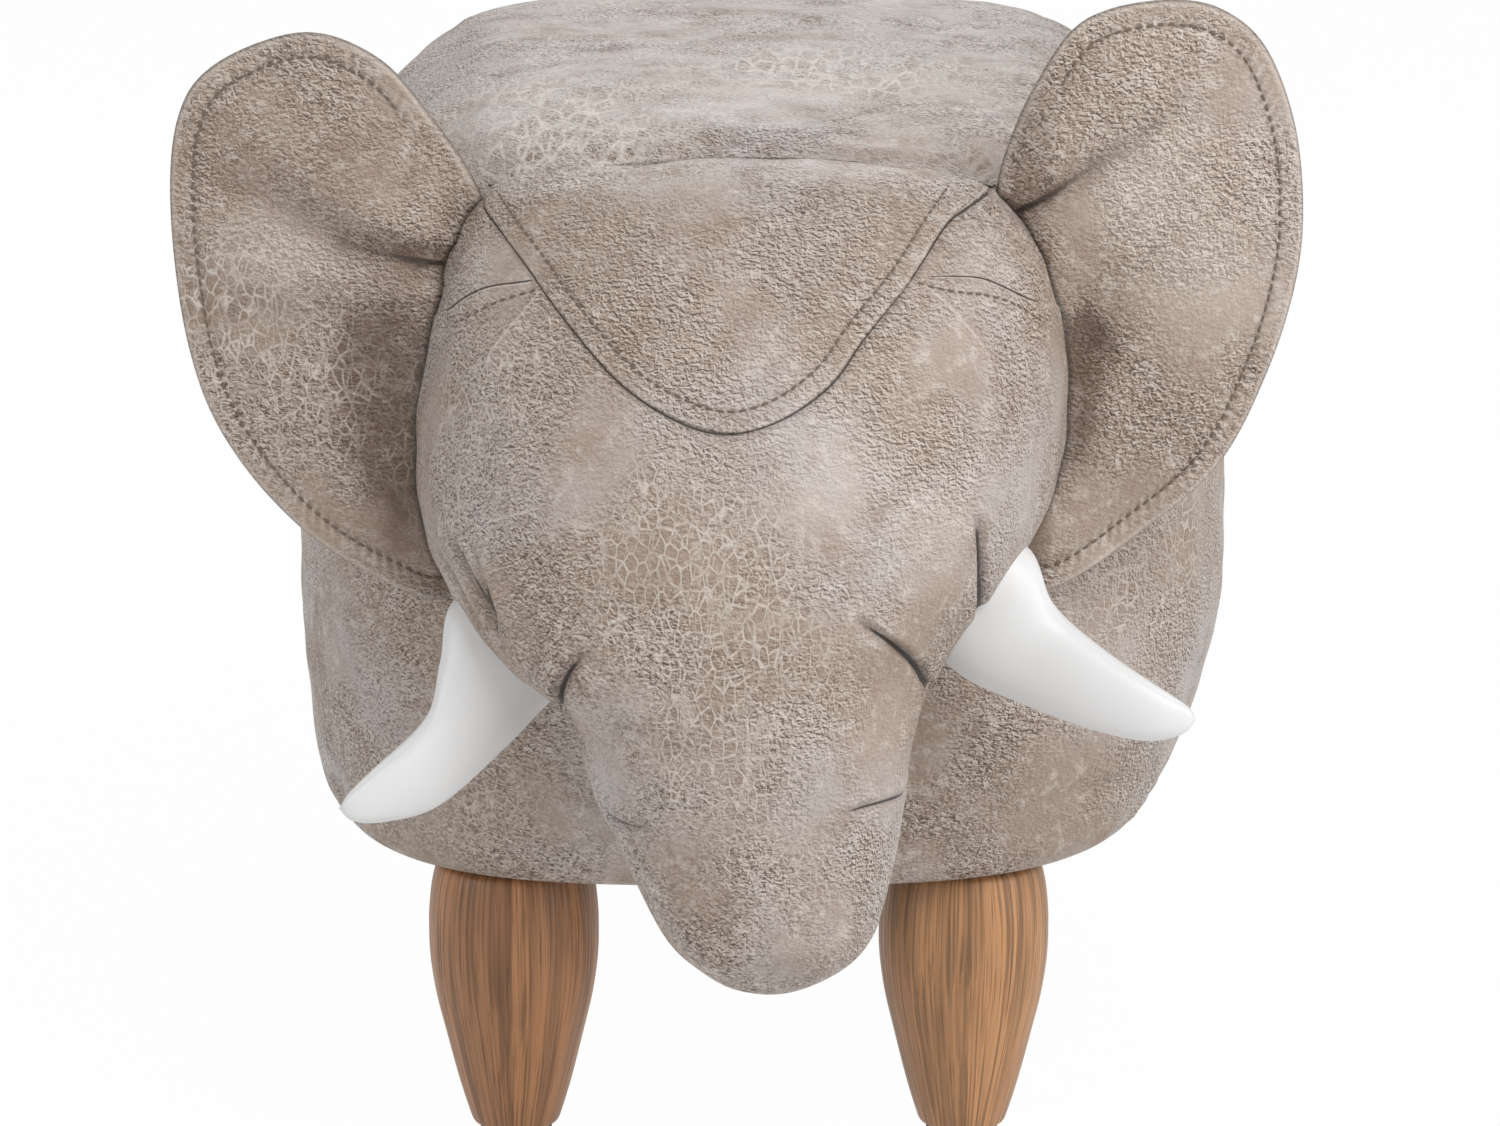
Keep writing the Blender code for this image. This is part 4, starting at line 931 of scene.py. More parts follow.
def face_grid(rows, front_columns, back_columns):
    """Rows of points from the ridge down to the trunk's tip, each row round the front and the back."""
    turn = np.linspace(0, 1, rows)
    z = HEAD_TOP - (HEAD_TOP - TRUNK_TIP) * (0.5 * turn + 0.25 * (1 - np.cos(math.pi * turn)))
    z = z[:, None]
    left, right = smooth_table(LEFT_EDGE)(z), smooth_table(RIGHT_EDGE)(z)
    close = np.sqrt(np.clip(1 - np.clip((TRUNK_TIP + TRUNK_ROUND - z) / TRUNK_ROUND, 0, 1) ** 2, 1e-5, 1))
    middle, half = (right - left) / 2, (right + left) / 2 * close
    lowered = ease(0.222, 0.206, z)
    free = ease(0.216, 0.198, z)
    front = face_front_line(z)
    back = smooth_table(BACK_LINE)(z)
    heart = (front + back) / 2
    front, back = heart + (front - heart) * close, heart + (back - heart) * close
    power = HEAD_SQUARENESS + (2.05 - HEAD_SQUARENESS) * ease(0.23, 0.17, z)

    span = np.sin(np.linspace(-1, 1, front_columns) * math.pi / 2)[None, :]
    x = middle + half * span
    edge = HEAD_BACK + body_bow(middle + half * np.sign(span))
    hanging_edge = heart + (smooth_table(WIDEST_LINE)(z) - heart) * close
    widest = edge + (hanging_edge - edge) * lowered
    fullness = (1 - np.abs(span) ** power) ** (1 / power)
    y = widest + (front - widest) * fullness
    climb = np.clip((z - TRUNK_TOP) / (HEAD_TOP - TRUNK_TOP), 0, 1)
    faces_front = np.stack((x, y, z - ridge_fall(span) * climb**3), axis=2)

    span = np.sin(np.linspace(1, -1, back_columns + 2)[1:-1] * math.pi / 2)[None, :]
    x = middle + half * span
    seated = HEAD_BACK + body_bow(x)
    top_share = np.clip((z - (HEAD_TOP - RIDGE_ROUND)) / RIDGE_ROUND, 0, 1)
    seated = seated - RIDGE_ROUND * (1 - np.sqrt(1 - top_share**2))
    widest = edge.mean(axis=1, keepdims=True) * (1 - lowered) + hanging_edge * lowered
    hanging = widest + (back - widest) * (1 - np.abs(span) ** 2.2) ** (1 / 2.2)
    y = seated + (hanging - seated) * free
    faces_back = np.stack((x, y, z - ridge_fall(span) * climb**3), axis=2)
    return np.concatenate((faces_front, faces_back), axis=1)


# Padding and marks on the hide


def lumps(points, size, seed):
    """Gentle unevenness between -1 and 1, from a few crossing waves."""
    draw = np.random.default_rng(seed)
    total = np.zeros(len(points))
    for _ in range(7):
        way = draw.normal(size=3)
        way *= 2 * math.pi / (size * draw.uniform(0.7, 1.5) * np.linalg.norm(way))
        total += np.sin(points @ way + draw.uniform(0, 6.28))
    return total / 3


def uneven(points, waves):
    """Unevenness summed from waves of a height, size and seed."""
    return sum(height * lumps(points, size, seed) for height, size, seed in waves)


def mark_hide(piece, tan, crease=0.0, rub=0.0, **lines):
    """Tell the hide where it is crackled, where shade is painted into creases, where it is rubbed or carries
    a painted highlight, how brown it is (above one: painted shade in hollows), and where fine lines run.
    """
    points = point_array(piece)
    crackle = np.zeros(len(points))
    for middle, spread, strength in CRACKLE_SPOTS:
        crackle += strength * bell(np.linalg.norm(points - middle, axis=1), spread)
    mark(piece, "crackle", np.clip(crackle, 0, 1.2))
    # Painted highlights at the sheen spots
    for middle, spread in SHEEN_SPOTS:
        rub = np.maximum(rub, 0.4 * bell(np.linalg.norm(points - middle, axis=1), spread))
    for name, values in (("crease", crease), ("rub", rub), ("tan", tan)):
        mark(piece, name, np.clip(values + np.zeros(len(points)), 0, 2 if name == "tan" else 1))
    for name, (off, there) in lines.items():
        mark(piece, name, off)
        mark(piece, name + "_there", there)


def fine_lines(lines, flat, reach=0.005):
    """Signed distance in millimetres to the nearest of some lines, and that line's strength."""
    best = np.full(len(flat), 1e9)
    off, there = np.full(len(flat), 9.0), np.zeros(len(flat))
    for line, strength, width, start, end in lines:
        gap, share, side = near(through(line, 8), flat)
        thin = np.clip(share / max(start, 1e-3), 0, 1) * np.clip((1 - share) / max(end, 1e-3), 0, 1)
        closer = gap < best
        best = np.where(closer, gap, best)
        narrowed = width * np.maximum(np.sqrt(thin), 0.15)
        off = np.where(closer, np.clip(1000 * gap * side / narrowed, -9, 9), off)
        there = np.where(closer, strength * np.where(gap < reach, np.clip(3 * thin, 0, 1), 0), there)
    return off, there


def swell(piece, held, pressure, cap, spare):
    """Swell a padded piece by a cloth simulation with some points held, and keep the result."""
    before = point_array(piece)
    group = piece.vertex_groups.new(name="held")
    group.add([int(i) for i in np.flatnonzero(held)], 1.0, "REPLACE")
    cloth = piece.modifiers.new("swell", "CLOTH")
    cloth.settings.quality = 4
    cloth.settings.mass = 0.3
    cloth.settings.use_pressure = True
    cloth.settings.uniform_pressure_force = pressure
    cloth.settings.shrink_min = -spare
    cloth.settings.vertex_group_mass = "held"
    cloth.settings.effector_weights.gravity = 0
    cloth.collision_settings.use_collision = False
    cloth.point_cache.frame_start = 1
    cloth.point_cache.frame_end = 20
    for step in range(1, 21):
        bpy.context.scene.frame_set(step)
    evaluated = piece.evaluated_get(bpy.context.evaluated_depsgraph_get())
    flat = np.zeros(len(before) * 3)
    evaluated.data.vertices.foreach_get("co", flat)
    move = flat.reshape(-1, 3) - before
    length = np.maximum(np.linalg.norm(move, axis=1, keepdims=True), 1e-9)
    piece.modifiers.remove(cloth)
    piece.vertex_groups.clear()
    bpy.context.scene.frame_set(1)
    piece.data.vertices.foreach_set("co", (before + move / length * cap * np.tanh(length / cap)).ravel())
    piece.data.update()


def bake(piece):
    """Replace a piece's mesh by what its modifiers make of it."""
    evaluated = piece.evaluated_get(bpy.context.evaluated_depsgraph_get())
    mesh = bpy.data.meshes.new_from_object(evaluated)
    piece.modifiers.clear()
    old = piece.data
    piece.data = mesh
    bpy.data.meshes.remove(old)
    mesh.name = piece.name


def subdivide(piece):
    finer = piece.modifiers.new("finer", "SUBSURF")
    finer.levels = finer.render_levels = 1
    bake(piece)


# Body


def rectangle(low, high, columns):
    """A rectangle seen from above, met by the same rays as the body's outline."""
    c, s = rays(columns)
    reach_x = np.where(c > 0, high[0], -low[0])
    reach_y = np.where(s > 0, high[1] - BODY_Y, BODY_Y - low[1])
    radius = 1 / np.maximum(np.abs(c) / reach_x, np.abs(s) / reach_y)
    return np.stack((radius * c, BODY_Y + radius * s), axis=1)


def at_height(ring, z):
    return np.column_stack((ring, np.full(len(ring), z)))


def make_body():
    columns, gap = 300, SKIN_GAP
    bottom = body_sides(BODY_BOTTOM)
    rows, free = [], []

    def add(ring, z, moves=False):
        rows.append(at_height(ring, z))
        free.append(moves)

    for inset in BODY_HEM_ROWS:
        add(outline(bottom - inset, columns), BODY_BOTTOM)
    edge, lip = BODY_EDGE, BODY_LIP
    for turn in np.linspace(0, math.pi / 2, 6):
        z = BODY_BOTTOM + edge * (1 - math.cos(turn))
        add(outline(body_sides(z) - edge * (1 - math.sin(turn)), columns), z)
    top = RIM + 0.0002
    slack = settings().padding.body_swell
    for share in np.linspace(0, 1, 52)[1:]:
        z = BODY_BOTTOM + edge + (top - lip - BODY_BOTTOM - edge) * share
        slim = slack * ease(0, 0.2, share) * ease(1, 0.85, share)
        add(outline(body_sides(z) - slim, columns), z, True)
    for turn in np.linspace(0, math.pi / 2, 9)[1:]:
        ring = outline(body_sides(RIM) - lip * (1 - math.cos(turn)), columns)
        add(ring, top - lip * (1 - math.sin(turn)), turn < 0.7)
    tub_low, tub_high = TUB_LOW - Vector((gap, gap, 0)), TUB_HIGH + Vector((gap, gap, 0))
    tub = rectangle(tub_low, tub_high, columns)
    rim = outline(body_sides(RIM) - lip, columns)
    for share in np.linspace(0, 1, 9)[1:]:
        add(rim + (tub - rim) * share, top)
    wall_low = Vector((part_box("left_wall")[0].x - gap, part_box("front_wall")[0].y - gap))
    wall_high = Vector((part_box("right_wall")[1].x + gap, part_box("rear_wall")[1].y + gap))
    wall = rectangle(wall_low, wall_high, columns)
    plate_low, plate_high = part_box("base_plate")
    plate = outline(bottom - (BOTTOM_HALF_WIDTH + plate_low.x) + gap, columns)
    hem = outline(bottom - BODY_HEM_ROWS[0], columns)
    above, below = plate_high.z + gap, plate_low.z - gap
    inside = ((tub, RIM + 0.00005), (wall, RIM + 0.00005), (wall, above), (plate, above),
              (plate, below), (hem, below))
    for ring, z in inside:
        add(ring, z)
    faces = rings_to_faces(len(rows), columns)
    last = (len(rows) - 1) * columns
    for i in range(columns):
        j = (i + 1) % columns
        faces.append((last + i, last + j, j, i))
    covers = ("left_body_cover", "right_body_cover", "front_pad", "rear_pad", "left_pad", "right_pad")
    body = new_piece("body", np.concatenate(rows), faces, hide_finish(), "base", covers)
    plan = settings().padding
    moves = np.repeat(free, columns)
    swell(body, ~moves, plan.body_pressure, plan.body_swell, 0.01)

    points = point_array(body)
    flank = np.where(moves, ease(BODY_BOTTOM, 0.135, points[:, 2]), 0)
    away = points - (0, BODY_Y, 0)
    away[:, 2] = 0
    away /= np.linalg.norm(away, axis=1, keepdims=True)
    seam = bell(points[:, 0], BODY_SEAM_WIDTH) * moves
    push = flank * uneven(points, BODY_LUMPS) - BODY_SEAM_DEPTH * seam
    push += 0.0007 * moves * bell(np.abs(points[:, 0]) - 0.004, 0.003)
    hem = moves * bell(points[:, 2] - BODY_BOTTOM - 0.014, 0.011)
    push += 0.0006 * hem * lumps(points * (1, 1, 0.2), 0.016, 6)
    low_left = bell(points[:, 2] - 0.128, 0.024) * ease(0, -0.08, points[:, 0])
    low_right = bell(points[:, 2] - 0.108, 0.015) * ease(0, 0.08, points[:, 0])
    push += flank * (LOW_LEFT_FULLNESS * low_left - LOW_RIGHT_HOLLOW * low_right)
    points += away * push[:, None]
    body.data.vertices.foreach_set("co", points.ravel())
    # Painted shade along the groove of the middle seam
    mark_hide(body, 0.38, seam * 0.8)
    path = []
    for z in np.linspace(BODY_BOTTOM + 0.010, RIM - 0.006, 60):
        path.append((0, BODY_Y + body_sides(z)[3] + 0.002, z))
    tree = surface(body)
    lines = []
    for side in (-1, 1):
        starts = [(side * BODY_SEAM_STITCH, y + 0.03, z) for _, y, z in path]
        lines.append(onto(tree, starts, (0, -1, 0), 0.0002))
    stitch("body_stitches", lines, "base")


# Seat


def make_seat():
    steps = 96
    rim = body_sides(RIM)
    height = SEAT_TOP - LID_BOTTOM - SEAT_EDGE - SEAT_CROWN - settings().padding.seat_swell
    base = LID_BOTTOM + SEAT_EDGE
    a, b = np.meshgrid(np.linspace(-1, 1, steps + 1), np.linspace(-1, 1, steps + 1), indexing="ij")
    size = np.maximum(np.abs(a), np.abs(b))
    ratio_a, ratio_b = a / np.maximum(size, 1e-9), b / np.maximum(size, 1e-9)
    quarter = math.pi / 4
    angle = np.where(np.abs(b) >= np.abs(a),
                     np.where(b < 0, -2 * quarter + quarter * ratio_a, 2 * quarter - quarter * ratio_a),
                     np.where(a > 0, quarter * ratio_b, 4 * quarter - quarter * ratio_b))
    c, s = np.cos(angle), np.sin(angle)

    full, flat = outline_radius(rim, c, s), outline_radius(rim - np.array(SEAT_ROLLS), c, s)
    start = SEAT_FLAT_SHARE
    inner = np.clip(size / start, 0, 1)
    turn = np.clip((size - start) / (1 - start), 0, 1) * math.pi / 2
    radius = np.where(size <= start, flat * inner, flat + (full - flat) * np.sin(turn))
    z = base + height * np.cos(turn) + SEAT_CROWN * np.clip(1 - (radius / full) ** 2, 0, 1) * 1.15
    dome = np.stack((radius * c, BODY_Y + radius * s, z), axis=2)
    points = [tuple(p) for p in dome.reshape(-1, 3)]
    wide = steps + 1
    faces = []
    for i in range(steps):
        for j in range(steps):
            faces.append((i * wide + j, (i + 1) * wide + j, (i + 1) * wide + j + 1, i * wide + j + 1))
    loop = [(i, 0) for i in range(steps)] + [(steps, j) for j in range(steps)]
    loop += [(i, steps) for i in range(steps, 0, -1)] + [(0, j) for j in range(steps, 0, -1)]
    count = len(loop)
    around = np.array([angle[i, j] for i, j in loop])
    c, s = np.cos(around), np.sin(around)
    previous = [i * wide + j for i, j in loop]
    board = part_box("lid_board")[1].z + SKIN_GAP
    tucked = LID_BOTTOM + 0.0016
    under = ((0.0010, base - 0.0026, 1.0), (0.0036, LID_BOTTOM, 1.0), (0.0075, LID_BOTTOM, 0.8),
             (0.0120, LID_BOTTOM, 0.25), (0.0158, LID_BOTTOM, 0.0), (0.0158, tucked, 0.0),
             (0.0072, tucked, 0.0), (0.0072, board, 0.0))
    for inset, level, droop in under:
        radius = outline_radius(rim - inset, c, s)
        y = BODY_Y + radius * s
        fall = SEAT_HEM_DROOP * droop * (1 - ease(0.13, 0.20, y))
        first = len(points)
        points += list(zip(radius * c, y, level - fall))
        current = list(range(first, first + count))
        for i in range(count):
            j = (i + 1) % count
            faces.append((previous[i], previous[j], current[j], current[i]))
        previous = current
    inset = under[-1][0]
    c, s = np.cos(angle), np.sin(angle)
    radius = outline_radius(rim - inset, c, s) * size
    slab = dict(zip(loop, previous))
    for i in range(wide):
        for j in range(wide):
            if (i, j) not in slab:
                slab[i, j] = len(points)
                points.append((radius[i, j] * c[i, j], BODY_Y + radius[i, j] * s[i, j], board))
    for i in range(steps):
        for j in range(steps):
            faces.append((slab[i, j], slab[i, j + 1], slab[i + 1, j + 1], slab[i + 1, j]))
    seat = new_piece("seat", points, faces, hide_finish(), "lid", ("seat_cover", "seat_foam"))
    points = point_array(seat)
    held = points[:, 2] < base + 0.004
    plan = settings().padding
    swell(seat, held, plan.seat_pressure, plan.seat_swell, 0.012)
    subdivide(seat)
    points = point_array(seat)
    free = ease(base, base + 0.03, points[:, 2])
    points[:, 2] += free * uneven(points, SEAT_LUMPS)
    front = ease(-0.06, -0.12, points[:, 1]) * free
    points[:, 2] += front * 0.0008 * lumps(points * (0.3, 1, 1), 0.014, 10)
    seat.data.vertices.foreach_set("co", points.ravel())
    seat.data.update()
    mark_hide(seat, 0.0)


# Face and forehead


def surface(piece):
    form = bmesh.new()
    form.from_mesh(piece.data)
    tree = BVHTree.FromBMesh(form)
    form.free()
    return tree


def onto(tree, places, way, lift):
    """Move places along a way until they meet a surface, and lift them off it a little."""
    found = []
    for place in places:
        hit, normal, _, _ = tree.ray_cast(Vector(place), Vector(way))
        if hit is not None:
            found.append(tuple(hit + normal * lift))
    return found


def on_face(tree, line, lift):
    return onto(tree, [(x, AHEAD, z) for x, z in line], (0, 1, 0), lift)


def make_face():
    rows, front_columns, back_columns = 284, 296, 48
    grid = face_grid(rows, front_columns, back_columns)
    normals = grid_normals(grid)
    front = grid[:, :front_columns].reshape(-1, 3)
    flat = front[:, (0, 2)]
    push = uneven(front, FACE_LUMPS)
    crease = np.zeros(len(flat))
    for line, depth, width, shoulder, dark in FOLDS:
        gap, share, _ = near(through(line, 6), flat)
        ends = np.sqrt(np.clip(np.sin(math.pi * (0.06 + 0.88 * share)), 0, 1))
        fade = 1.0 if line is PANEL_EDGE else ends
        push += fade * (shoulder * bell(gap, 3.2 * width) - depth * bell(gap, width))
        # Painted shade in each fold
        crease = np.maximum(crease, 0.45 * dark * fade * bell(gap, width))
    for line in (LEFT_BROW, RIGHT_BROW):
        gap, share, side = near(through(line, 6), flat)
        fade = np.sin(math.pi * np.clip(share, 0.05, 0.95)) ** 0.3
        below = np.where(side < 0, fade, 0.0) * bell(gap, 0.016)
        push += BROW_FULLNESS * below * ease(0, 0.0012, gap)
    for line in (LEFT_BROW_SEAM, RIGHT_BROW_SEAM):
        push -= BROW_SEAM_DEPTH * bell(near(through(line, 6), flat)[0], BROW_SEAM_WIDTH)
    shape = (rows, front_columns)
    push = push.reshape(shape)
    grid[:, :front_columns] += normals[:, :front_columns] * push[:, :, None]
    columns = front_columns + back_columns
    faces = closed_tube(rows, columns)

    def all_round(values):
        whole = np.zeros((rows, columns))
        whole[:, :front_columns] = values.reshape(shape)
        return whole.ravel()

    nodes = ("head", "trunk")
    face = new_piece("face", grid.reshape(-1, 3), faces, hide_finish(), "base", nodes)
    marks = [fine_lines(lines, flat) for lines in (FACE_SEAMS, FACE_SCARS)]
    seam, scar = [[all_round(values) for values in line] for line in marks]
    across = np.sin(np.linspace(-1, 1, front_columns) * math.pi / 2)
    # Painted highlight along the side edges of the face, carried with the rubbed places
    rim = 0.4 * bell(1 - np.abs(across), 0.010) * np.ones((rows, 1))
    mark_hide(face, 0.4, all_round(crease), all_round(rim), seam=seam, scar=scar)
    tree = surface(face)
    lines = [on_face(tree, through(line, 20), STITCH_LIFT) for line in (LEFT_BROW_SEAM, RIGHT_BROW_SEAM)]
    stitch("brow_stitches", lines, "base")


def sewn_shell(rows, columns):
    """Faces of a closed shell between two open grids of points."""
    count = rows * columns
    faces = []
    for r in range(rows - 1):
        for c in range(columns - 1):
            a, b = r * columns + c, (r + 1) * columns + c
            faces.append((a, a + 1, b + 1, b))
            faces.append((count + a, count + b, count + b + 1, count + a + 1))
    border = list(range(columns)) + [r * columns + columns - 1 for r in range(1, rows)]
    border += [(rows - 1) * columns + c for c in range(columns - 2, -1, -1)]
    border += [r * columns for r in range(rows - 2, 0, -1)]
    for a, b in zip(border, border[1:] + border[:1]):
        faces.append((a, count + a, count + b, b))
    return faces


def make_forehead():
    tree = surface(bpy.data.objects["face"])
    edge = through(PANEL_EDGE, 10)
    rows, columns = 64, 190
    x = np.linspace(edge[0, 0] + 0.0006, edge[-1, 0] - 0.0006, columns)
    low = np.interp(x, edge[:, 0], edge[:, 1])
    high = HEAD_TOP - 0.0012 - ridge_fall(x / RIDGE_HALF)
    high = np.maximum(high, low + 0.001)
    share = np.linspace(0, 1, rows) ** 1.7
    z = low[None, :] + (high - low)[None, :] * share[:, None]
    flat = np.stack((np.broadcast_to(x, z.shape), z), axis=2).reshape(-1, 2)
    gap, _, _ = near(edge, flat)
    below_top = np.broadcast_to(high, z.shape).ravel() - flat[:, 1]
    roll = np.sqrt(1 - (1 - np.clip(gap / PANEL_ROLL, 0, 1)) ** 2)
    lift = PANEL_THICKNESS * roll * ease(0, 0.004, below_top) - 0.0002
    lift -= 0.0002 * bell(gap - PANEL_STITCH_INSET, 0.0013)
    outer, inner = [], []
    for (px, pz), rise in zip(flat, lift):
        hit, normal, _, _ = tree.ray_cast(Vector((px, AHEAD, pz)), Vector((0, 1, 0)))
        if hit is None:
            hit, normal, _, _ = tree.find_nearest(Vector((px, HEAD_BACK - RIDGE_DEPTH, pz)))
        outer.append(hit + normal * rise)
        inner.append(hit - normal * PANEL_SEATED)
    points = np.array(outer + inner)
    faces = sewn_shell(rows, columns)
    panel = new_piece("forehead", points, faces, hide_finish(), "base", ("forehead_panel",))
    gap, _, _ = near(edge, point_array(panel)[:, (0, 2)])
    # Painted shade along the stitch groove, and a pale band on the rolled edge: rubbed wear and painted
    # highlight
    crease = 0.15 * bell(gap - PANEL_STITCH_INSET, 0.0009)
    worn = 0.3 * bell(gap - 0.0012, 0.0007)
    mark_hide(panel, 0.5, crease, worn)
    tree = surface(panel)
    way = np.gradient(edge, axis=0)
    way /= np.linalg.norm(way, axis=1, keepdims=True)
    inside = edge + np.stack((-way[:, 1], way[:, 0]), axis=1) * PANEL_STITCH_INSET
    stitch("forehead_stitches", [on_face(tree, inside, STITCH_LIFT)], "base")


# Ears and tusks


def evenly(curve, count, closed=True):
    """Points evenly spaced along a curve."""
    if closed:
        curve = np.vstack((curve, curve[:1]))
    lengths = np.concatenate(([0], np.cumsum(np.linalg.norm(np.diff(curve, axis=0), axis=1))))
    marks = np.linspace(0, lengths[-1], count, endpoint=not closed)
    return np.stack([np.interp(marks, lengths, curve[:, k]) for k in range(curve.shape[1])], axis=1)


def make_ear(name, pattern, pleat, hollows, tan, hollow_shade_strength):
    """An ear sewn of two panels, with its pleat, hollows and topstitches, painted shade in its hollows,
    pleat and joints, and painted highlights on its puckers and edge.
    """
    columns, rings = 600, 44
    sign = -1 if pattern[0][0] < 0 else 1
    edge = evenly(through(pattern, 14, True), columns)
    centre = np.array((sign * EAR_MIDDLE[0], EAR_MIDDLE[1]))
    share = 1 - (1 - np.linspace(0, 1, rings)) ** 1.7
    share[0] = 0.02
    flat = centre + (edge - centre)[None, :, :] * share[:, None, None]
    flat = flat.reshape(-1, 2)
    border = np.vstack((edge, edge[:1]))
    gap, _, _ = near(border, flat)
    out = np.abs(flat[:, 0]) - 0.110
    spread = np.column_stack((flat[:, 0], np.zeros(len(flat)), flat[:, 1]))
    middle = HEAD_BACK - EAR_IN_FRONT + EAR_SWEEP * out + EAR_ROOT_BACK * ease(-0.004, -0.028, out)
    middle += EAR_WAVE * lumps(spread, 0.11, 11)
    rim = np.sqrt(np.clip(EAR_EDGE**2 - np.clip(EAR_EDGE - gap, 0, None) ** 2, 0, None))
    sewn_part = ease(EAR_STITCH_START - 0.04, EAR_STITCH_START, np.arange(columns) / columns)
    seam = bell(gap - EAR_STITCH_INSET, 0.0012) * np.tile(sewn_part, rings)
    flange = np.sin(math.pi * np.clip(gap / EAR_STITCH_INSET, 0, 1))
    puff = EAR_PUFF * (1 - np.exp(-np.clip(gap - EAR_STITCH_INSET, 0, None) / 0.026))
    around = np.linalg.norm(edge - np.roll(edge, 1, axis=0), axis=1).sum()
    beat = np.sin(2 * math.pi * np.arange(columns) / columns * round(around / PUCKER_PITCH))
    pucker = np.tile(beat * sewn_part, rings) * bell(gap - 0.006, 0.0028)
    hem = rim + 0.0001 * flange - 0.0003 * seam
    front, back = hem + puff + 0.0002 * pucker, hem + 0.8 * puff + 0.0002 * pucker
    fold, along, _ = near(through(pleat, 10), flat)
    wide = 0.004 + 0.007 * along
    front -= PLEAT_DEPTH * bell(fold, wide) * (1 - along) ** 0.6
    front += PLEAT_SHOULDER * bell(fold - 2.0 * wide, wide) * (1 - along)
    front -= 0.0014 * (bell(fold, 0.0012) * np.clip(1 - along / 0.3, 0, 1))
    pit = np.zeros(len(flat))
    for x, z, across, tall, depth in hollows:
        pit += depth * np.exp(-(((flat[:, 0] - x) / across) ** 2) - ((flat[:, 1] - z) / tall) ** 2)
    front -= HOLLOW_DEPTH * pit
    front = np.maximum(front, 0.2 * rim) + 0.0004 * lumps(spread, 0.03, 12)
    front = np.where(gap < 1e-5, 0, front)
    front_points = np.column_stack((flat[:, 0], middle - front, flat[:, 1]))
    hidden = (rings - 1) * columns
    back_points = np.column_stack((flat[:, 0], middle + back, flat[:, 1]))[:hidden]
    count = rings * columns
    faces = rings_to_faces(rings, columns)
    faces.append(tuple(range(columns)))
    for r in range(rings - 1):
        for i in range(columns):
            j = (i + 1) % columns
            low, high = count + r * columns, count + (r + 1) * columns
            if r == rings - 2:
                high = hidden
            faces.append((low + i, high + i, high + j, low + j))
    faces.append(tuple(reversed(range(count, count + columns))))
    points = np.concatenate((front_points, back_points))
    nodes = (name + "_front", name + "_back")
    ear = new_piece(name, points, faces, hide_finish(), "base", nodes)
    # Painted shade in the hollows and along the pleat, mottled a little
    hollow_shade = hollow_shade_strength * pit + bell(fold, 0.002 + 0.0045 * along) * (1 - along) ** 0.6
    hollow_shade += 0.4 * bell(fold, 0.006 + 0.008 * along) * (1 - along)
    hollow_shade = np.clip(hollow_shade * (0.85 + 0.3 * lumps(spread, 0.016, 13)), 0, 1.2)
    # Painted shade in the hollows between the puckers along the stitches
    pucker_shade = 0.4 * seam * np.clip(0.5 - 0.8 * np.tile(beat, rings), 0, 1)
    face = surface(bpy.data.objects["face"])
    from_face = np.array([face.find_nearest(Vector(place))[3] for place in front_points])
    # Painted shade where the ear meets the head, and a thin painted dark line round its edge
    joint_shade = np.maximum(0.95 * bell(from_face, 0.0016), 0.55 * bell(gap, 0.0005))
    # Painted highlights on the puckers and on the rolled edge
    lit = 0.3 * np.clip(pucker, 0, 1) + 0.45 * bell(gap - 0.0012, 0.0009)
    # A painted shade line along the pleat's fold
    off, there = fine_lines(((pleat, 1.0, 2.2, 0.0, 0.95),), flat)
    there *= np.clip(1.2 - 2.2 * along, 0, 1)

    def both(values, behind=0.0):
        return np.concatenate((values, values[:hidden] * behind))

    # Above one, the tan carries the painted hollow shade
    tan_with_hollow_shade = tan + both((2.0 - tan) * np.clip(hollow_shade, 0, 1))
    # Painted shade: between the puckers, where the ear meets the head and round its edge
    dark = both(np.maximum(pucker_shade, joint_shade))
    mark_hide(ear, tan_with_hollow_shade, dark, both(lit, 1.0), seam=(both(off, 1.0), both(there)))
    tree = surface(ear)
    visible = edge[int(columns * EAR_STITCH_START) : int(columns * EAR_VISIBLE)]
    inside = visible.copy()
    for _ in range(2):
        way = centre - inside
        short = EAR_STITCH_INSET - near(border, inside)[0]
        inside += way / np.linalg.norm(way, axis=1)[:, None] * short[:, None]
    back_line = onto(tree, [(x, BEHIND, z) for x, z in inside], (0, -1, 0), STITCH_LIFT)
    stitch(name + "_stitches", [on_face(tree, inside, STITCH_LIFT), back_line], "base")


def make_ears():
    make_ear("left_ear", LEFT_EAR, LEFT_EAR_PLEAT, LEFT_EAR_HOLLOWS, 1.12, 2.4)
    make_ear("right_ear", RIGHT_EAR, RIGHT_EAR_PLEAT, RIGHT_EAR_HOLLOWS, 0.7, 1.1)


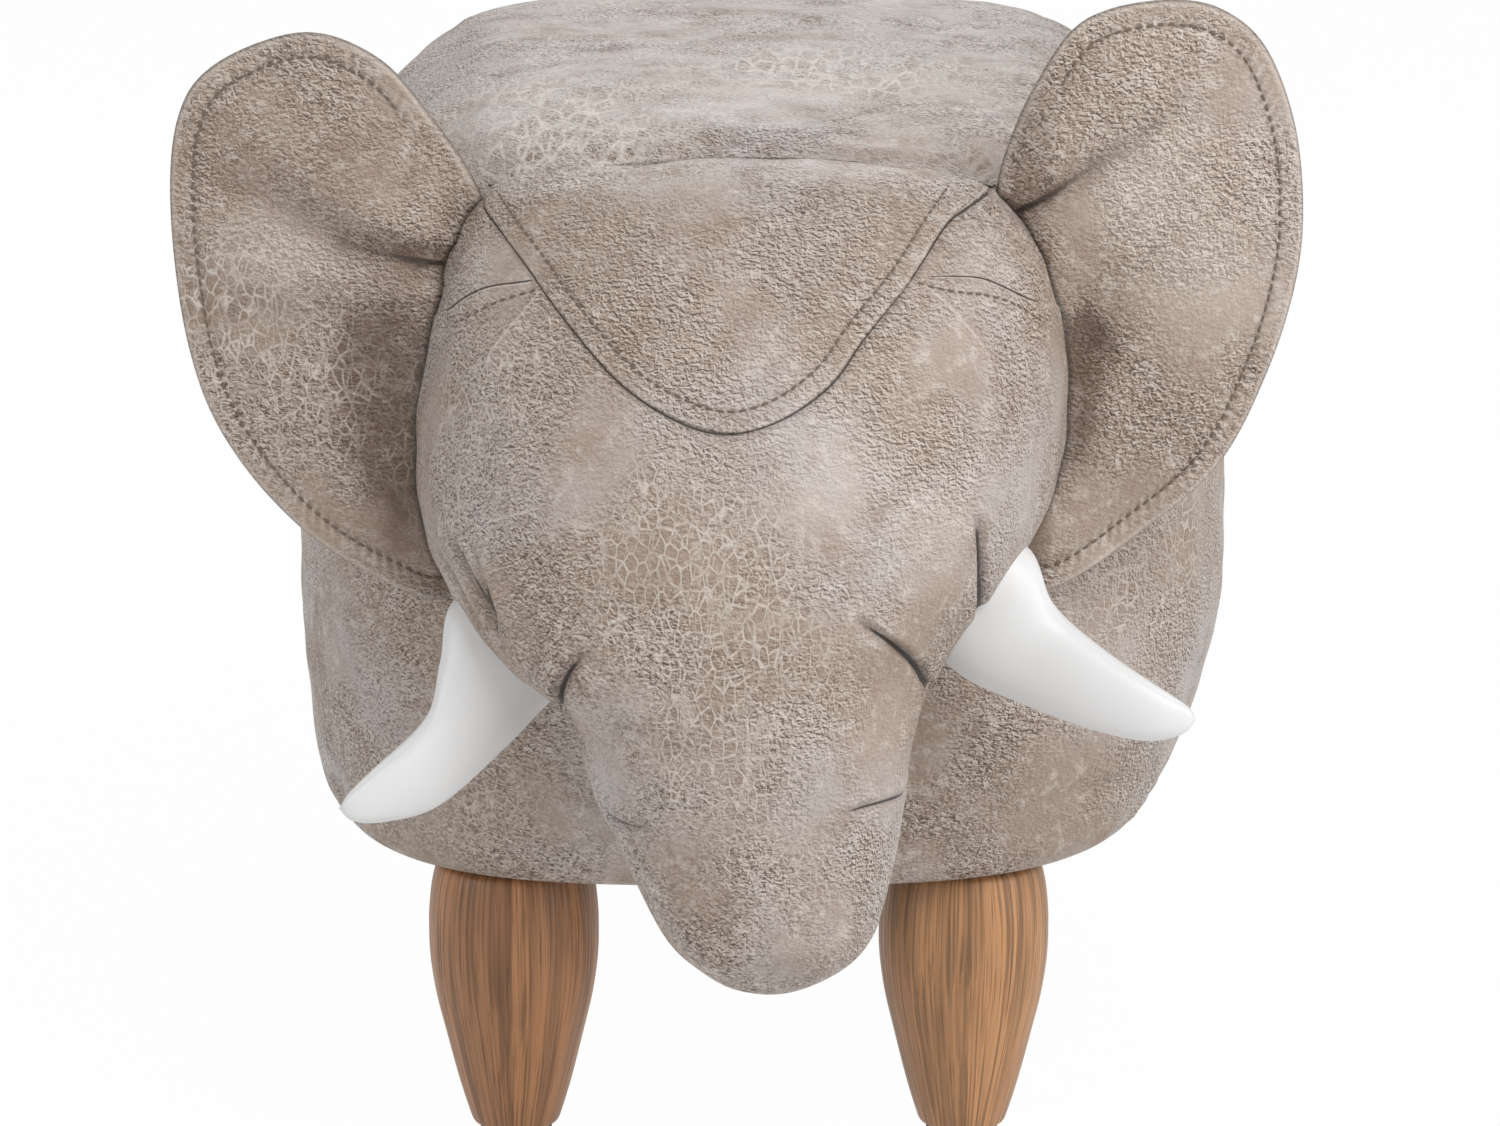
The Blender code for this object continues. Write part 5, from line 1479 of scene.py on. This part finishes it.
def make_tusk(name, edges, node_name):
    rows, columns = 76, 64
    upper = evenly(through(edges[0], 12), rows, False)
    lower = evenly(through(edges[1], 12), rows, False)
    share = np.linspace(0, 1, rows)[:, None]
    middle, half = (upper + lower) / 2, (upper - lower) / 2
    angle = np.linspace(0, 2 * math.pi, columns, endpoint=False)[None, :]
    wide = np.cos(angle)
    thick = np.sign(np.sin(angle)) * np.abs(np.sin(angle)) ** 0.85
    width = np.linalg.norm(half, axis=1)[:, None]
    depth = TUSK_FLATNESS * width * thick
    y = TUSK_ROOT_Y + (TUSK_TIP_Y - TUSK_ROOT_Y) * ease(0.1, 1.0, share) - depth
    x = middle[:, :1] + half[:, :1] * wide
    z = middle[:, 1:] + half[:, 1:] * wide
    grid = np.stack((x, y, z), axis=2)
    seam = bell(angle - 0.42, 0.05) * np.ones_like(share)
    grid[:, :, 1] += 0.0006 * seam
    points = list(grid[:-1].reshape(-1, 3)) + [grid[-1].mean(axis=0)]
    faces = rings_to_faces(rows - 1, columns) + fan((rows - 2) * columns, columns, len(points) - 1)
    faces.append(tuple(reversed(range(columns))))
    tusk = new_piece(name, points, faces, white_finish(), "base", (node_name,))
    # Painted shade along the seam's groove
    mark(tusk, "crease", np.append(0.5 * seam[:-1].ravel(), 0.0))


def make_tusks():
    make_tusk("tusk_left", LEFT_TUSK, "left_tusk")
    make_tusk("tusk_right", RIGHT_TUSK, "right_tusk")


# Things that repeat, made with Geometry Nodes


def new_tree(name, **inputs):
    """A Geometry Nodes tree with named inputs; gives the tree, its inputs and their identifiers."""
    tree = bpy.data.node_groups.new(name, "GeometryNodeTree")
    tree.interface.new_socket("Geometry", in_out="OUTPUT", socket_type="NodeSocketGeometry")
    tree.interface.new_socket("Geometry", in_out="INPUT", socket_type="NodeSocketGeometry")
    keys = {}
    for label, default in inputs.items():
        kind = "NodeSocketVector" if isinstance(default, tuple) else "NodeSocketFloat"
        socket = tree.interface.new_socket(label, in_out="INPUT", socket_type=kind)
        socket.default_value = default
        keys[label] = socket.identifier
    start = tree.nodes.new("NodeGroupInput")
    return tree, start.outputs, keys


def end_tree(tree, shape, material):
    """Realize the instances, give them their material and hand them over."""
    real = result(tree, "GeometryNodeRealizeInstances", {"Geometry": shape})
    smooth = result(tree, "GeometryNodeSetShadeSmooth", {"Geometry": real})
    painted = result(tree, "GeometryNodeSetMaterial", {"Geometry": smooth, "Material": material})
    tree.links.new(painted, tree.nodes.new("NodeGroupOutput").inputs[0])


def spaced_along(tree, given, spacing):
    """Points along the given edges, and the turn that lays an instance along them."""
    curve = result(tree, "GeometryNodeMeshToCurve", {"Mesh": given["Geometry"]})
    spaced = result(tree, "GeometryNodeResampleCurve", {"Curve": curve, "Length": spacing}, mode="LENGTH")
    tangent = result(tree, "GeometryNodeInputTangent")
    return spaced, result(tree, "FunctionNodeAlignRotationToVector", {"Vector": tangent}, axis="Z")


def placed(tree, points, instance, turn, scale=(1.0, 1.0, 1.0)):
    """An instance on each point."""
    values = {"Points": points, "Instance": instance, "Rotation": turn, "Scale": scale}
    return result(tree, "GeometryNodeInstanceOnPoints", values)


def swept(tree, line, steps, sides, width):
    """A closed round bar along a line."""
    spaced = result(tree, "GeometryNodeResampleCurve", {"Curve": line, "Count": steps}, mode="COUNT")
    ring = result(tree, "GeometryNodeCurvePrimitiveCircle", {"Resolution": sides, "Radius": 1.0})
    values = {"Curve": spaced, "Profile Curve": ring, "Scale": width, "Fill Caps": True}
    return result(tree, "GeometryNodeCurveToMesh", values)


def grow(name, tree, keys, values, points=(), edges=()):
    """Run a tree on a few points and edges, and keep the result as a plain mesh object."""
    mesh = bpy.data.meshes.new(name)
    mesh.from_pydata(points, edges, [])
    piece = bpy.data.objects.new(name, mesh)
    bpy.context.scene.collection.objects.link(piece)
    modifier = piece.modifiers.new("grow", "NODES")
    modifier.node_group = tree
    for label, value in values.items():
        modifier[keys[label]] = value
    bake(piece)
    return piece


def stitch(name, lines, body):
    """Stitches along lines of points."""
    sewing = settings().sewing
    tree, given, keys = new_tree(name + "_tree", Pitch=0.0036, Stitch=0.0026, Thread=0.0005)
    spaced, turned = spaced_along(tree, given, given["Pitch"])
    bead = result(tree, "GeometryNodeMeshUVSphere", {"Segments": 6, "Rings": 5, "Radius": 1.0})
    half = maths(tree, "MULTIPLY", given["Stitch"], 0.5)
    size = result(tree, "ShaderNodeCombineXYZ", {0: given["Thread"], 1: given["Thread"], 2: half})
    end_tree(tree, placed(tree, spaced, bead, turned, size), thread_finish())
    points, edges = [], []
    for line in lines:
        first = len(points)
        points += line
        edges += [(i, i + 1) for i in range(first, len(points) - 1)]
    sizes = {"Pitch": sewing.pitch, "Stitch": sewing.stitch, "Thread": sewing.thread}
    piece = grow(name, tree, keys, sizes, points, edges)
    dress(piece, thread_finish(), body)


def make_legs():
    wood = settings().wood
    for index, place in enumerate(("front_left", "front_right", "rear_left", "rear_right")):
        low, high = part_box(place + "_leg")
        # Left legs take the darker oak colour, right legs the lighter one
        tone = wood.dark if "left" in place else wood.golden
        shift = (0.37 * index, 0.21 * index, 0.11 * index)
        material = oak_finish(place + "_oak", tuple(tone), shift)
        ends = {"Foot": (0.0, 0.0, 0.0), "Top": (0.0, 0.0, 0.1)}
        tree, given, keys = new_tree(place + "_leg_tree", **ends, Radius=0.03)
        line = result(tree, "GeometryNodeCurvePrimitiveLine", {"Start": given["Foot"], "End": given["Top"]})
        share = node(tree, "GeometryNodeSplineParameter").outputs["Factor"]
        profile = node(tree, "ShaderNodeFloatCurve", {"Value": share})
        curve = profile.mapping.curves[0]
        marks = [(at, radius / LEG_RADIUS) for at, radius in LEG_PROFILE]
        curve.points[0].location = marks[0]
        curve.points[1].location = marks[-1]
        for mark_at in marks[1:-1]:
            curve.points.new(*mark_at)
        profile.mapping.update()
        width = maths(tree, "MULTIPLY", profile.outputs[0], given["Radius"])
        end_tree(tree, swept(tree, line, LEG_ROWS, LEG_COLUMNS, width), material)
        x, y = (low.x + high.x) / 2, (low.y + high.y) / 2
        sizes = {"Foot": (x, y, low.z), "Top": (x, y, high.z), "Radius": LEG_RADIUS}
        leg = grow("turned_leg_" + place, tree, keys, sizes)
        tidy_normals(leg.data)
        places = point_array(leg)
        out = places[:, :2] - (x, y)
        places[:, :2] = out * (LEG_RADIUS / np.maximum(np.linalg.norm(out, axis=1), 1e-4))[:, None]
        layer = leg.data.attributes.new("turned", "FLOAT_VECTOR", "POINT")
        layer.data.foreach_set("vector", places.astype(np.float32).ravel())
        dress(leg, material, "base", (place + "_leg",))


def make_tail():
    low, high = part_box("tail")
    tuft_low, tuft_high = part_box("tail_tuft")
    middle = (low.y + high.y) / 2
    rows, columns = 60, 32
    share = np.linspace(0, 1, rows)[:, None]
    angle = np.linspace(0, 2 * math.pi, columns, endpoint=False)[None, :]
    radius = TAIL_RADIUS - TAIL_TAPER * share
    radius = radius * np.sqrt(np.clip(1 - np.clip((0.03 - share) / 0.03, 0, 1) ** 2, 0.02, 1))
    radius = radius - 0.0006 * bell(angle - math.pi / 2, 0.16)
    x = radius * np.cos(angle) + 0.0015 * np.sin(2.2 * math.pi * share) * share
    y = middle + radius * np.sin(angle)
    z = high.z - (high.z - low.z) * share + 0 * angle
    grid = np.stack((x, y, z), axis=2)
    faces = closed_tube(rows, columns)
    tail = new_piece("tail_cord", grid.reshape(-1, 3), faces, hide_finish(), "base", ("tail",))
    mark_hide(tail, 0.5)

    tree, given, keys = new_tree("tuft_tree", Root=(0.0, 0.0, 0.0), Strand=0.045, Spread=0.0035)
    spots = {0: (-1, -1, 0), 1: (1, 1, 0), "Seed": 7}
    scatter = result(tree, "FunctionNodeRandomValue", spots, data_type="FLOAT_VECTOR")
    wide = result(tree, "ShaderNodeVectorMath", {0: scatter, 3: given["Spread"]}, operation="SCALE")
    place = result(tree, "ShaderNodeVectorMath", {0: wide, 1: given["Root"]}, operation="ADD")
    roots = result(tree, "GeometryNodePoints", {"Count": TUFT_STRANDS, "Position": place})
    down = maths(tree, "MULTIPLY", given["Strand"], -1.0)
    end = result(tree, "ShaderNodeCombineXYZ", {2: down})
    line = result(tree, "GeometryNodeCurvePrimitiveLine", {"End": end})
    share = node(tree, "GeometryNodeSplineParameter").outputs["Factor"]
    taper = result(tree, "ShaderNodeMapRange", {"Value": share, "To Min": 0.0011, "To Max": 0.0003})
    strand = swept(tree, line, 6, 5, taper)
    leans = {0: (-0.16, -0.16, -3.1), 1: (0.16, 0.16, 3.1), "Seed": 11}
    lean = result(tree, "FunctionNodeRandomValue", leans, data_type="FLOAT_VECTOR")
    turn = result(tree, "FunctionNodeEulerToRotation", {"Euler": lean})
    lengths = {2: 0.75, 3: 1.0, "Seed": 3}
    length = node(tree, "FunctionNodeRandomValue", lengths, data_type="FLOAT").outputs[1]
    scale = result(tree, "ShaderNodeCombineXYZ", {0: 1.0, 1: 1.0, 2: length})
    end_tree(tree, placed(tree, roots, strand, turn, scale), thread_finish())
    root = (0.0, middle, tuft_high.z + 0.003)
    sizes = {"Root": root, "Strand": tuft_high.z - tuft_low.z, "Spread": TUFT_SPREAD}
    tuft = grow("tuft", tree, keys, sizes)
    dress(tuft, thread_finish(), "base", ("tail_tuft",))


# Linings and hardware


def thicken(piece, thickness):
    wall = piece.modifiers.new("thickness", "SOLIDIFY")
    wall.thickness = thickness
    wall.offset = 0
    bake(piece)
    tidy_normals(piece.data)


def flat_sheet(name, sides, thickness, material, body, node_name):
    """A stretched sheet with the body's outline, at the height of its node."""
    columns, rings = 200, 40
    edge = outline(sides, columns)
    below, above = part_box(node_name)
    z = (below.z + above.z) / 2
    share = np.linspace(0, 1, rings + 1)[1:]
    middle = np.array((0, BODY_Y))
    rows = [at_height(middle + (edge - middle) * part, z) for part in share]
    points = np.concatenate(rows + [np.array([(0, BODY_Y, z)])])
    pull = np.repeat(share, columns)
    points[:-1, 2] += CLOTH_FLUTTER * lumps(points[:-1] * (1, 1, 0), 0.05, 21) * (1 - pull**6)
    faces = rings_to_faces(rings, columns) + fan(0, columns, len(points) - 1)
    sheet = new_piece(name, points, faces, material, body, (node_name,))
    thicken(sheet, thickness)


def make_tub_cloth(cloth):
    """The lining of the tub: walls with rounded corners, a bend and a floor."""
    columns, rings = 240, 26
    half = (TUB_HIGH - TUB_LOW) / 2
    middle = (TUB_HIGH + TUB_LOW) / 2
    thickness = TUB_CLOTH_THICKNESS
    angle = np.linspace(0, 2 * math.pi, columns, endpoint=False)
    c, s = np.cos(angle), np.sin(angle)
    wide, deep = half.x - thickness / 2 - 0.0002, half.y - thickness / 2 - 0.0002
    power = 16
    radius = ((np.abs(c) / wide) ** power + (np.abs(s) / deep) ** power) ** (-1 / power)
    ring = np.stack((radius * c, radius * s), axis=1)
    floor, bend = TUB_LOW.z + thickness / 2 + 0.0002, TUB_CLOTH_BEND
    rows = []
    for z in np.linspace(TUB_HIGH.z - 0.0002, floor + bend, 30):
        rows.append(at_height(ring, z))
    for turn in np.linspace(0, math.pi / 2, 6)[1:]:
        inner = ring * (1 - bend * (1 - math.cos(turn)) / radius[:, None])
        rows.append(at_height(inner, floor + bend * (1 - math.sin(turn))))
    last = rows[-1][:, :2]
    for part in np.linspace(1, 0, rings)[1:-1]:
        rows.append(at_height(last * part, floor))
    points = np.concatenate(rows + [np.array([(0, 0, floor)])])
    wave = 0.5 + 0.5 * np.clip(lumps(points, 0.07, 31), -1, 1)
    wall = ease(floor + 0.02, floor + 0.06, points[:, 2]) * ease(TUB_HIGH.z, TUB_HIGH.z - 0.02, points[:, 2])
    inward = -points / np.maximum(np.linalg.norm(points[:, :2], axis=1, keepdims=True), 1e-6)
    inward[:, 2] = 0
    points += inward * (0.0016 * wave * wall)[:, None]
    points[:, 2] += ease(floor + 0.0005, floor, points[:, 2]) * wave * 0.0010
    points[:, 0] += middle.x
    points[:, 1] += middle.y
    faces = rings_to_faces(len(rows), columns) + fan((len(rows) - 1) * columns, columns, len(points) - 1)
    tub = new_piece("tub_cloth", points, faces, cloth, "base", ("tub_lining",))
    thicken(tub, thickness)


def make_staples():
    """Staples that hold the dust sheet."""
    steel = steel_finish()
    tree, given, keys = new_tree("staple_tree", Spacing=0.03, Size=(0.0012, 0.0006, 0.009))
    spaced, turned = spaced_along(tree, given, given["Spacing"])
    bar = result(tree, "GeometryNodeMeshCube", {"Size": given["Size"], "Vertices Z": 4})
    end_tree(tree, placed(tree, spaced, bar, turned), steel)
    hem = outline(body_sides(BODY_BOTTOM) - BODY_HEM_ROWS[0], 160)
    loop = at_height(hem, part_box("dust_sheet")[0].z - 0.0001)
    points = [tuple(p) for p in loop]
    edges = [(i, (i + 1) % len(points)) for i in range(len(points))]
    staples = grow("staples", tree, keys, {"Spacing": STAPLE_SPACING}, points, edges)
    dress(staples, steel, "base")


def make_linings():
    cloth = weave_finish("lining_weave", (0.30, 0.27, 0.24), 260.0)
    make_tub_cloth(cloth)
    under_lid = body_sides(RIM) - LID_CLOTH_INSET
    flat_sheet("lid_cloth", under_lid, LID_CLOTH_THICKNESS, cloth, "lid", "lid_lining")
    black = weave_finish("dust_weave", (0.035, 0.034, 0.033), 420.0)
    below = body_sides(BODY_BOTTOM) - DUST_CLOTH_INSET
    flat_sheet("underside_cloth", below, DUST_CLOTH_THICKNESS, black, "base", "dust_sheet")
    make_staples()


def screw_shape():
    """A countersunk head with a slot, used only as a pattern for the nodes."""
    form = bmesh.new()
    bmesh.ops.create_cone(form, cap_ends=True, segments=20, radius1=0.0030, radius2=0.0032, depth=0.0003)
    mesh = bpy.data.meshes.new("screw_pattern")
    for side in (-1, 1):
        ring = []
        for turn in np.linspace(0.2, math.pi - 0.2, 9):
            ring.append((0.0031 * math.cos(turn), side * 0.0031 * math.sin(turn)))
        low = [form.verts.new((x, y, 0.0001)) for x, y in ring]
        high = [form.verts.new((0.9 * x, 0.92 * y + side * 0.0001, 0.00042)) for x, y in ring]
        form.faces.new(low)
        form.faces.new(list(reversed(high)))
        for i in range(len(ring)):
            j = (i + 1) % len(ring)
            form.faces.new((low[i], high[i], high[j], low[j]))
    bmesh.ops.recalc_face_normals(form, faces=form.faces)
    form.to_mesh(mesh)
    form.free()
    pattern = bpy.data.objects.new("screw_pattern", mesh)
    bpy.context.scene.collection.objects.link(pattern)
    return pattern


def make_hardware():
    steel = steel_finish()
    felt = dull_finish("grey_felt", (0.05, 0.048, 0.045), 900.0)
    rubber = dull_finish("black_rubber", (0.02, 0.02, 0.02), 500.0)
    finishes = {"steel": steel, "plywood": ply_finish(), "felt": felt, "rubber": rubber}
    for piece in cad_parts.values():
        for slot in piece.material_slots:
            for name, finish in finishes.items():
                if slot.material and slot.material.name.split(".")[0] == name:
                    slot.material = finish
    pattern = screw_shape()
    for body, leaf, face in (("base", "fixed_leaf", 1), ("lid", "moving_leaf", -1)):
        tree, given, keys = new_tree(leaf + "_screw_tree", Turn=0.0)
        info = node(tree, "GeometryNodeObjectInfo", {"Object": pattern}).outputs["Geometry"]
        euler = result(tree, "ShaderNodeCombineXYZ", {0: given["Turn"]})
        turn = result(tree, "FunctionNodeEulerToRotation", {"Euler": euler})
        points = result(tree, "GeometryNodeMeshToPoints", {"Mesh": given["Geometry"]})
        end_tree(tree, placed(tree, points, info, turn), steel)
        places = []
        for side in ("left", "right"):
            low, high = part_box(f"{side}_hinge_{leaf}")
            middle = (low.x + high.x) / 2
            level = RIM + SCREW_LEVEL if face > 0 else LID_BOTTOM - SCREW_LEVEL
            for x, y in SCREW_PLACES:
                places.append((middle + x, y, level))
        screws = grow(leaf + "_screws", tree, keys, {"Turn": 0.0 if face > 0 else math.pi}, places)
        dress(screws, steel, body)
    bpy.data.objects.remove(pattern)


# Operators, one for each group of pieces


class POUF_OT_body(bpy.types.Operator):
    """Make the padded body with its seams"""

    bl_idname = "pouf.body"
    bl_label = "Body"

    def execute(self, context):
        make_body()
        return {"FINISHED"}


class POUF_OT_seat(bpy.types.Operator):
    """Make the padded seat of the lid"""

    bl_idname = "pouf.seat"
    bl_label = "Seat"

    def execute(self, context):
        make_seat()
        return {"FINISHED"}


class POUF_OT_face(bpy.types.Operator):
    """Make the stuffed head and trunk with their folds"""

    bl_idname = "pouf.face"
    bl_label = "Face"

    def execute(self, context):
        make_face()
        return {"FINISHED"}


class POUF_OT_forehead(bpy.types.Operator):
    """Make the lapped forehead panel and its stitches"""

    bl_idname = "pouf.forehead"
    bl_label = "Forehead panel"

    def execute(self, context):
        make_forehead()
        return {"FINISHED"}


class POUF_OT_ears(bpy.types.Operator):
    """Make both ears and their topstitches"""

    bl_idname = "pouf.ears"
    bl_label = "Ears"

    def execute(self, context):
        make_ears()
        return {"FINISHED"}


class POUF_OT_tusks(bpy.types.Operator):
    """Make both stuffed tusks"""

    bl_idname = "pouf.tusks"
    bl_label = "Tusks"

    def execute(self, context):
        make_tusks()
        return {"FINISHED"}


class POUF_OT_tail(bpy.types.Operator):
    """Make the tail and its tuft"""

    bl_idname = "pouf.tail"
    bl_label = "Tail"

    def execute(self, context):
        make_tail()
        return {"FINISHED"}


class POUF_OT_legs(bpy.types.Operator):
    """Turn the four oak legs"""

    bl_idname = "pouf.legs"
    bl_label = "Legs"

    def execute(self, context):
        make_legs()
        return {"FINISHED"}


class POUF_OT_linings(bpy.types.Operator):
    """Make the tub's lining, the lid's lining and the underside with its staples"""

    bl_idname = "pouf.linings"
    bl_label = "Linings"

    def execute(self, context):
        make_linings()
        return {"FINISHED"}


class POUF_OT_hardware(bpy.types.Operator):
    """Finish the hinges, boards, glides and bumpers, and add the screws"""

    bl_idname = "pouf.hardware"
    bl_label = "Hardware"

    def execute(self, context):
        make_hardware()
        return {"FINISHED"}


class POUF_OT_stage(bpy.types.Operator):
    """Set the floor, the light and the camera"""

    bl_idname = "pouf.stage"
    bl_label = "Stage"

    def execute(self, context):
        make_stage()
        return {"FINISHED"}


# Stage and panel


def add_lamp(name, place, target, power, size):
    data = bpy.data.lights.new(name, "AREA")
    data.energy = power
    data.shape = "DISK"
    data.size = size
    lamp = bpy.data.objects.new(name, data)
    lamp.location = place
    lamp.rotation_euler = (Vector(target) - Vector(place)).to_track_quat("-Z", "Y").to_euler()
    bpy.context.scene.collection.objects.link(lamp)


def seen_rays(tree):
    """One for rays that show the background: seen, mirrored or seen through."""
    paths = node(tree, "ShaderNodeLightPath")
    mirrored = maths(tree, "MAXIMUM", paths.outputs["Is Glossy Ray"], paths.outputs["Is Transmission Ray"])
    return maths(tree, "MAXIMUM", paths.outputs["Is Camera Ray"], mirrored)


def make_stage():
    plan = settings().stage
    scene = bpy.context.scene
    scene.view_settings.view_transform = "Standard"
    data = bpy.data.cameras.new("photo_camera")
    data.sensor_width = 36
    data.lens = plan.focal
    data.clip_end = 50
    camera = bpy.data.objects.new("photo_camera", data)
    camera.location = plan.camera
    camera.rotation_euler = (math.pi / 2 - plan.pitch, 0, 0)
    scene.collection.objects.link(camera)
    scene.camera = camera

    world = bpy.data.worlds.new("studio")
    scene.world = world
    world.use_nodes = True
    tree = world.node_tree
    background = tree.nodes["Background"]
    strength = ramp(tree, seen_rays(tree), 0.0, 1.0, 0.36, 1.0)
    background.inputs["Color"].default_value = (1, 1, 1, 1)
    tree.links.new(strength, background.inputs["Strength"])

    form = bmesh.new()
    bmesh.ops.create_grid(form, x_segments=2, y_segments=2, size=6)
    mesh = bpy.data.meshes.new("floor")
    form.to_mesh(mesh)
    form.free()
    floor = bpy.data.objects.new("floor", mesh)
    scene.collection.objects.link(floor)
    material, tree, shader = start_material("pale_floor")
    shader.inputs["Base Color"].default_value = (0.9, 0.9, 0.9, 1)
    shader.inputs["Roughness"].default_value = 0.9
    glow = node(tree, "ShaderNodeEmission", {"Strength": 1.0})
    mix = node(tree, "ShaderNodeMixShader", {1: shader.outputs[0], 2: glow.outputs[0]})
    tree.links.new(maths(tree, "MULTIPLY", seen_rays(tree), 0.98), mix.inputs[0])
    tree.links.new(mix.outputs[0], tree.nodes["Material Output"].inputs["Surface"])
    mesh.materials.append(material)

    aim = (0, 0, 0.22)
    add_lamp("key", (0.75, -1.5, 1.65), aim, plan.key, 1.2)
    add_lamp("left_fill", (-1.6, -1.2, 0.9), aim, plan.key * 0.32, 1.2)
    add_lamp("right_fill", (1.7, -0.9, 0.8), aim, plan.key * 0.45, 1.2)
    add_lamp("rear", (0.0, 1.6, 1.5), aim, plan.key * 0.35, 1.2)


class POUF_PT_panel(bpy.types.Panel):
    """Buttons for each group of pieces"""

    bl_idname = "POUF_PT_panel"
    bl_label = "Elephant pouf"
    bl_space_type = "VIEW_3D"
    bl_region_type = "UI"
    bl_category = "Pouf"

    def draw(self, context):
        for operator in OPERATORS:
            self.layout.operator(operator.bl_idname)


OPERATORS = (
    POUF_OT_stage, POUF_OT_body, POUF_OT_seat, POUF_OT_face, POUF_OT_forehead, POUF_OT_ears,
    POUF_OT_tusks, POUF_OT_tail, POUF_OT_legs, POUF_OT_linings, POUF_OT_hardware,
)
CLASSES = (HideLook, WoodLook, SewingSizes, PaddingPlan, StagePlan, PoufSettings, *OPERATORS, POUF_PT_panel)


def register():
    for item in CLASSES:
        bpy.utils.register_class(item)
    bpy.types.Scene.pouf = PointerProperty(type=PoufSettings)


def unregister():
    del bpy.types.Scene.pouf
    for item in reversed(CLASSES):
        bpy.utils.unregister_class(item)


def main():
    register()
    bpy.ops.pouf.stage()
    bpy.ops.pouf.body()
    bpy.ops.pouf.seat()
    bpy.ops.pouf.face()
    bpy.ops.pouf.forehead()
    bpy.ops.pouf.ears()
    bpy.ops.pouf.tusks()
    bpy.ops.pouf.tail()
    bpy.ops.pouf.legs()
    bpy.ops.pouf.linings()
    bpy.ops.pouf.hardware()


if __name__ == "__main__":
    main()
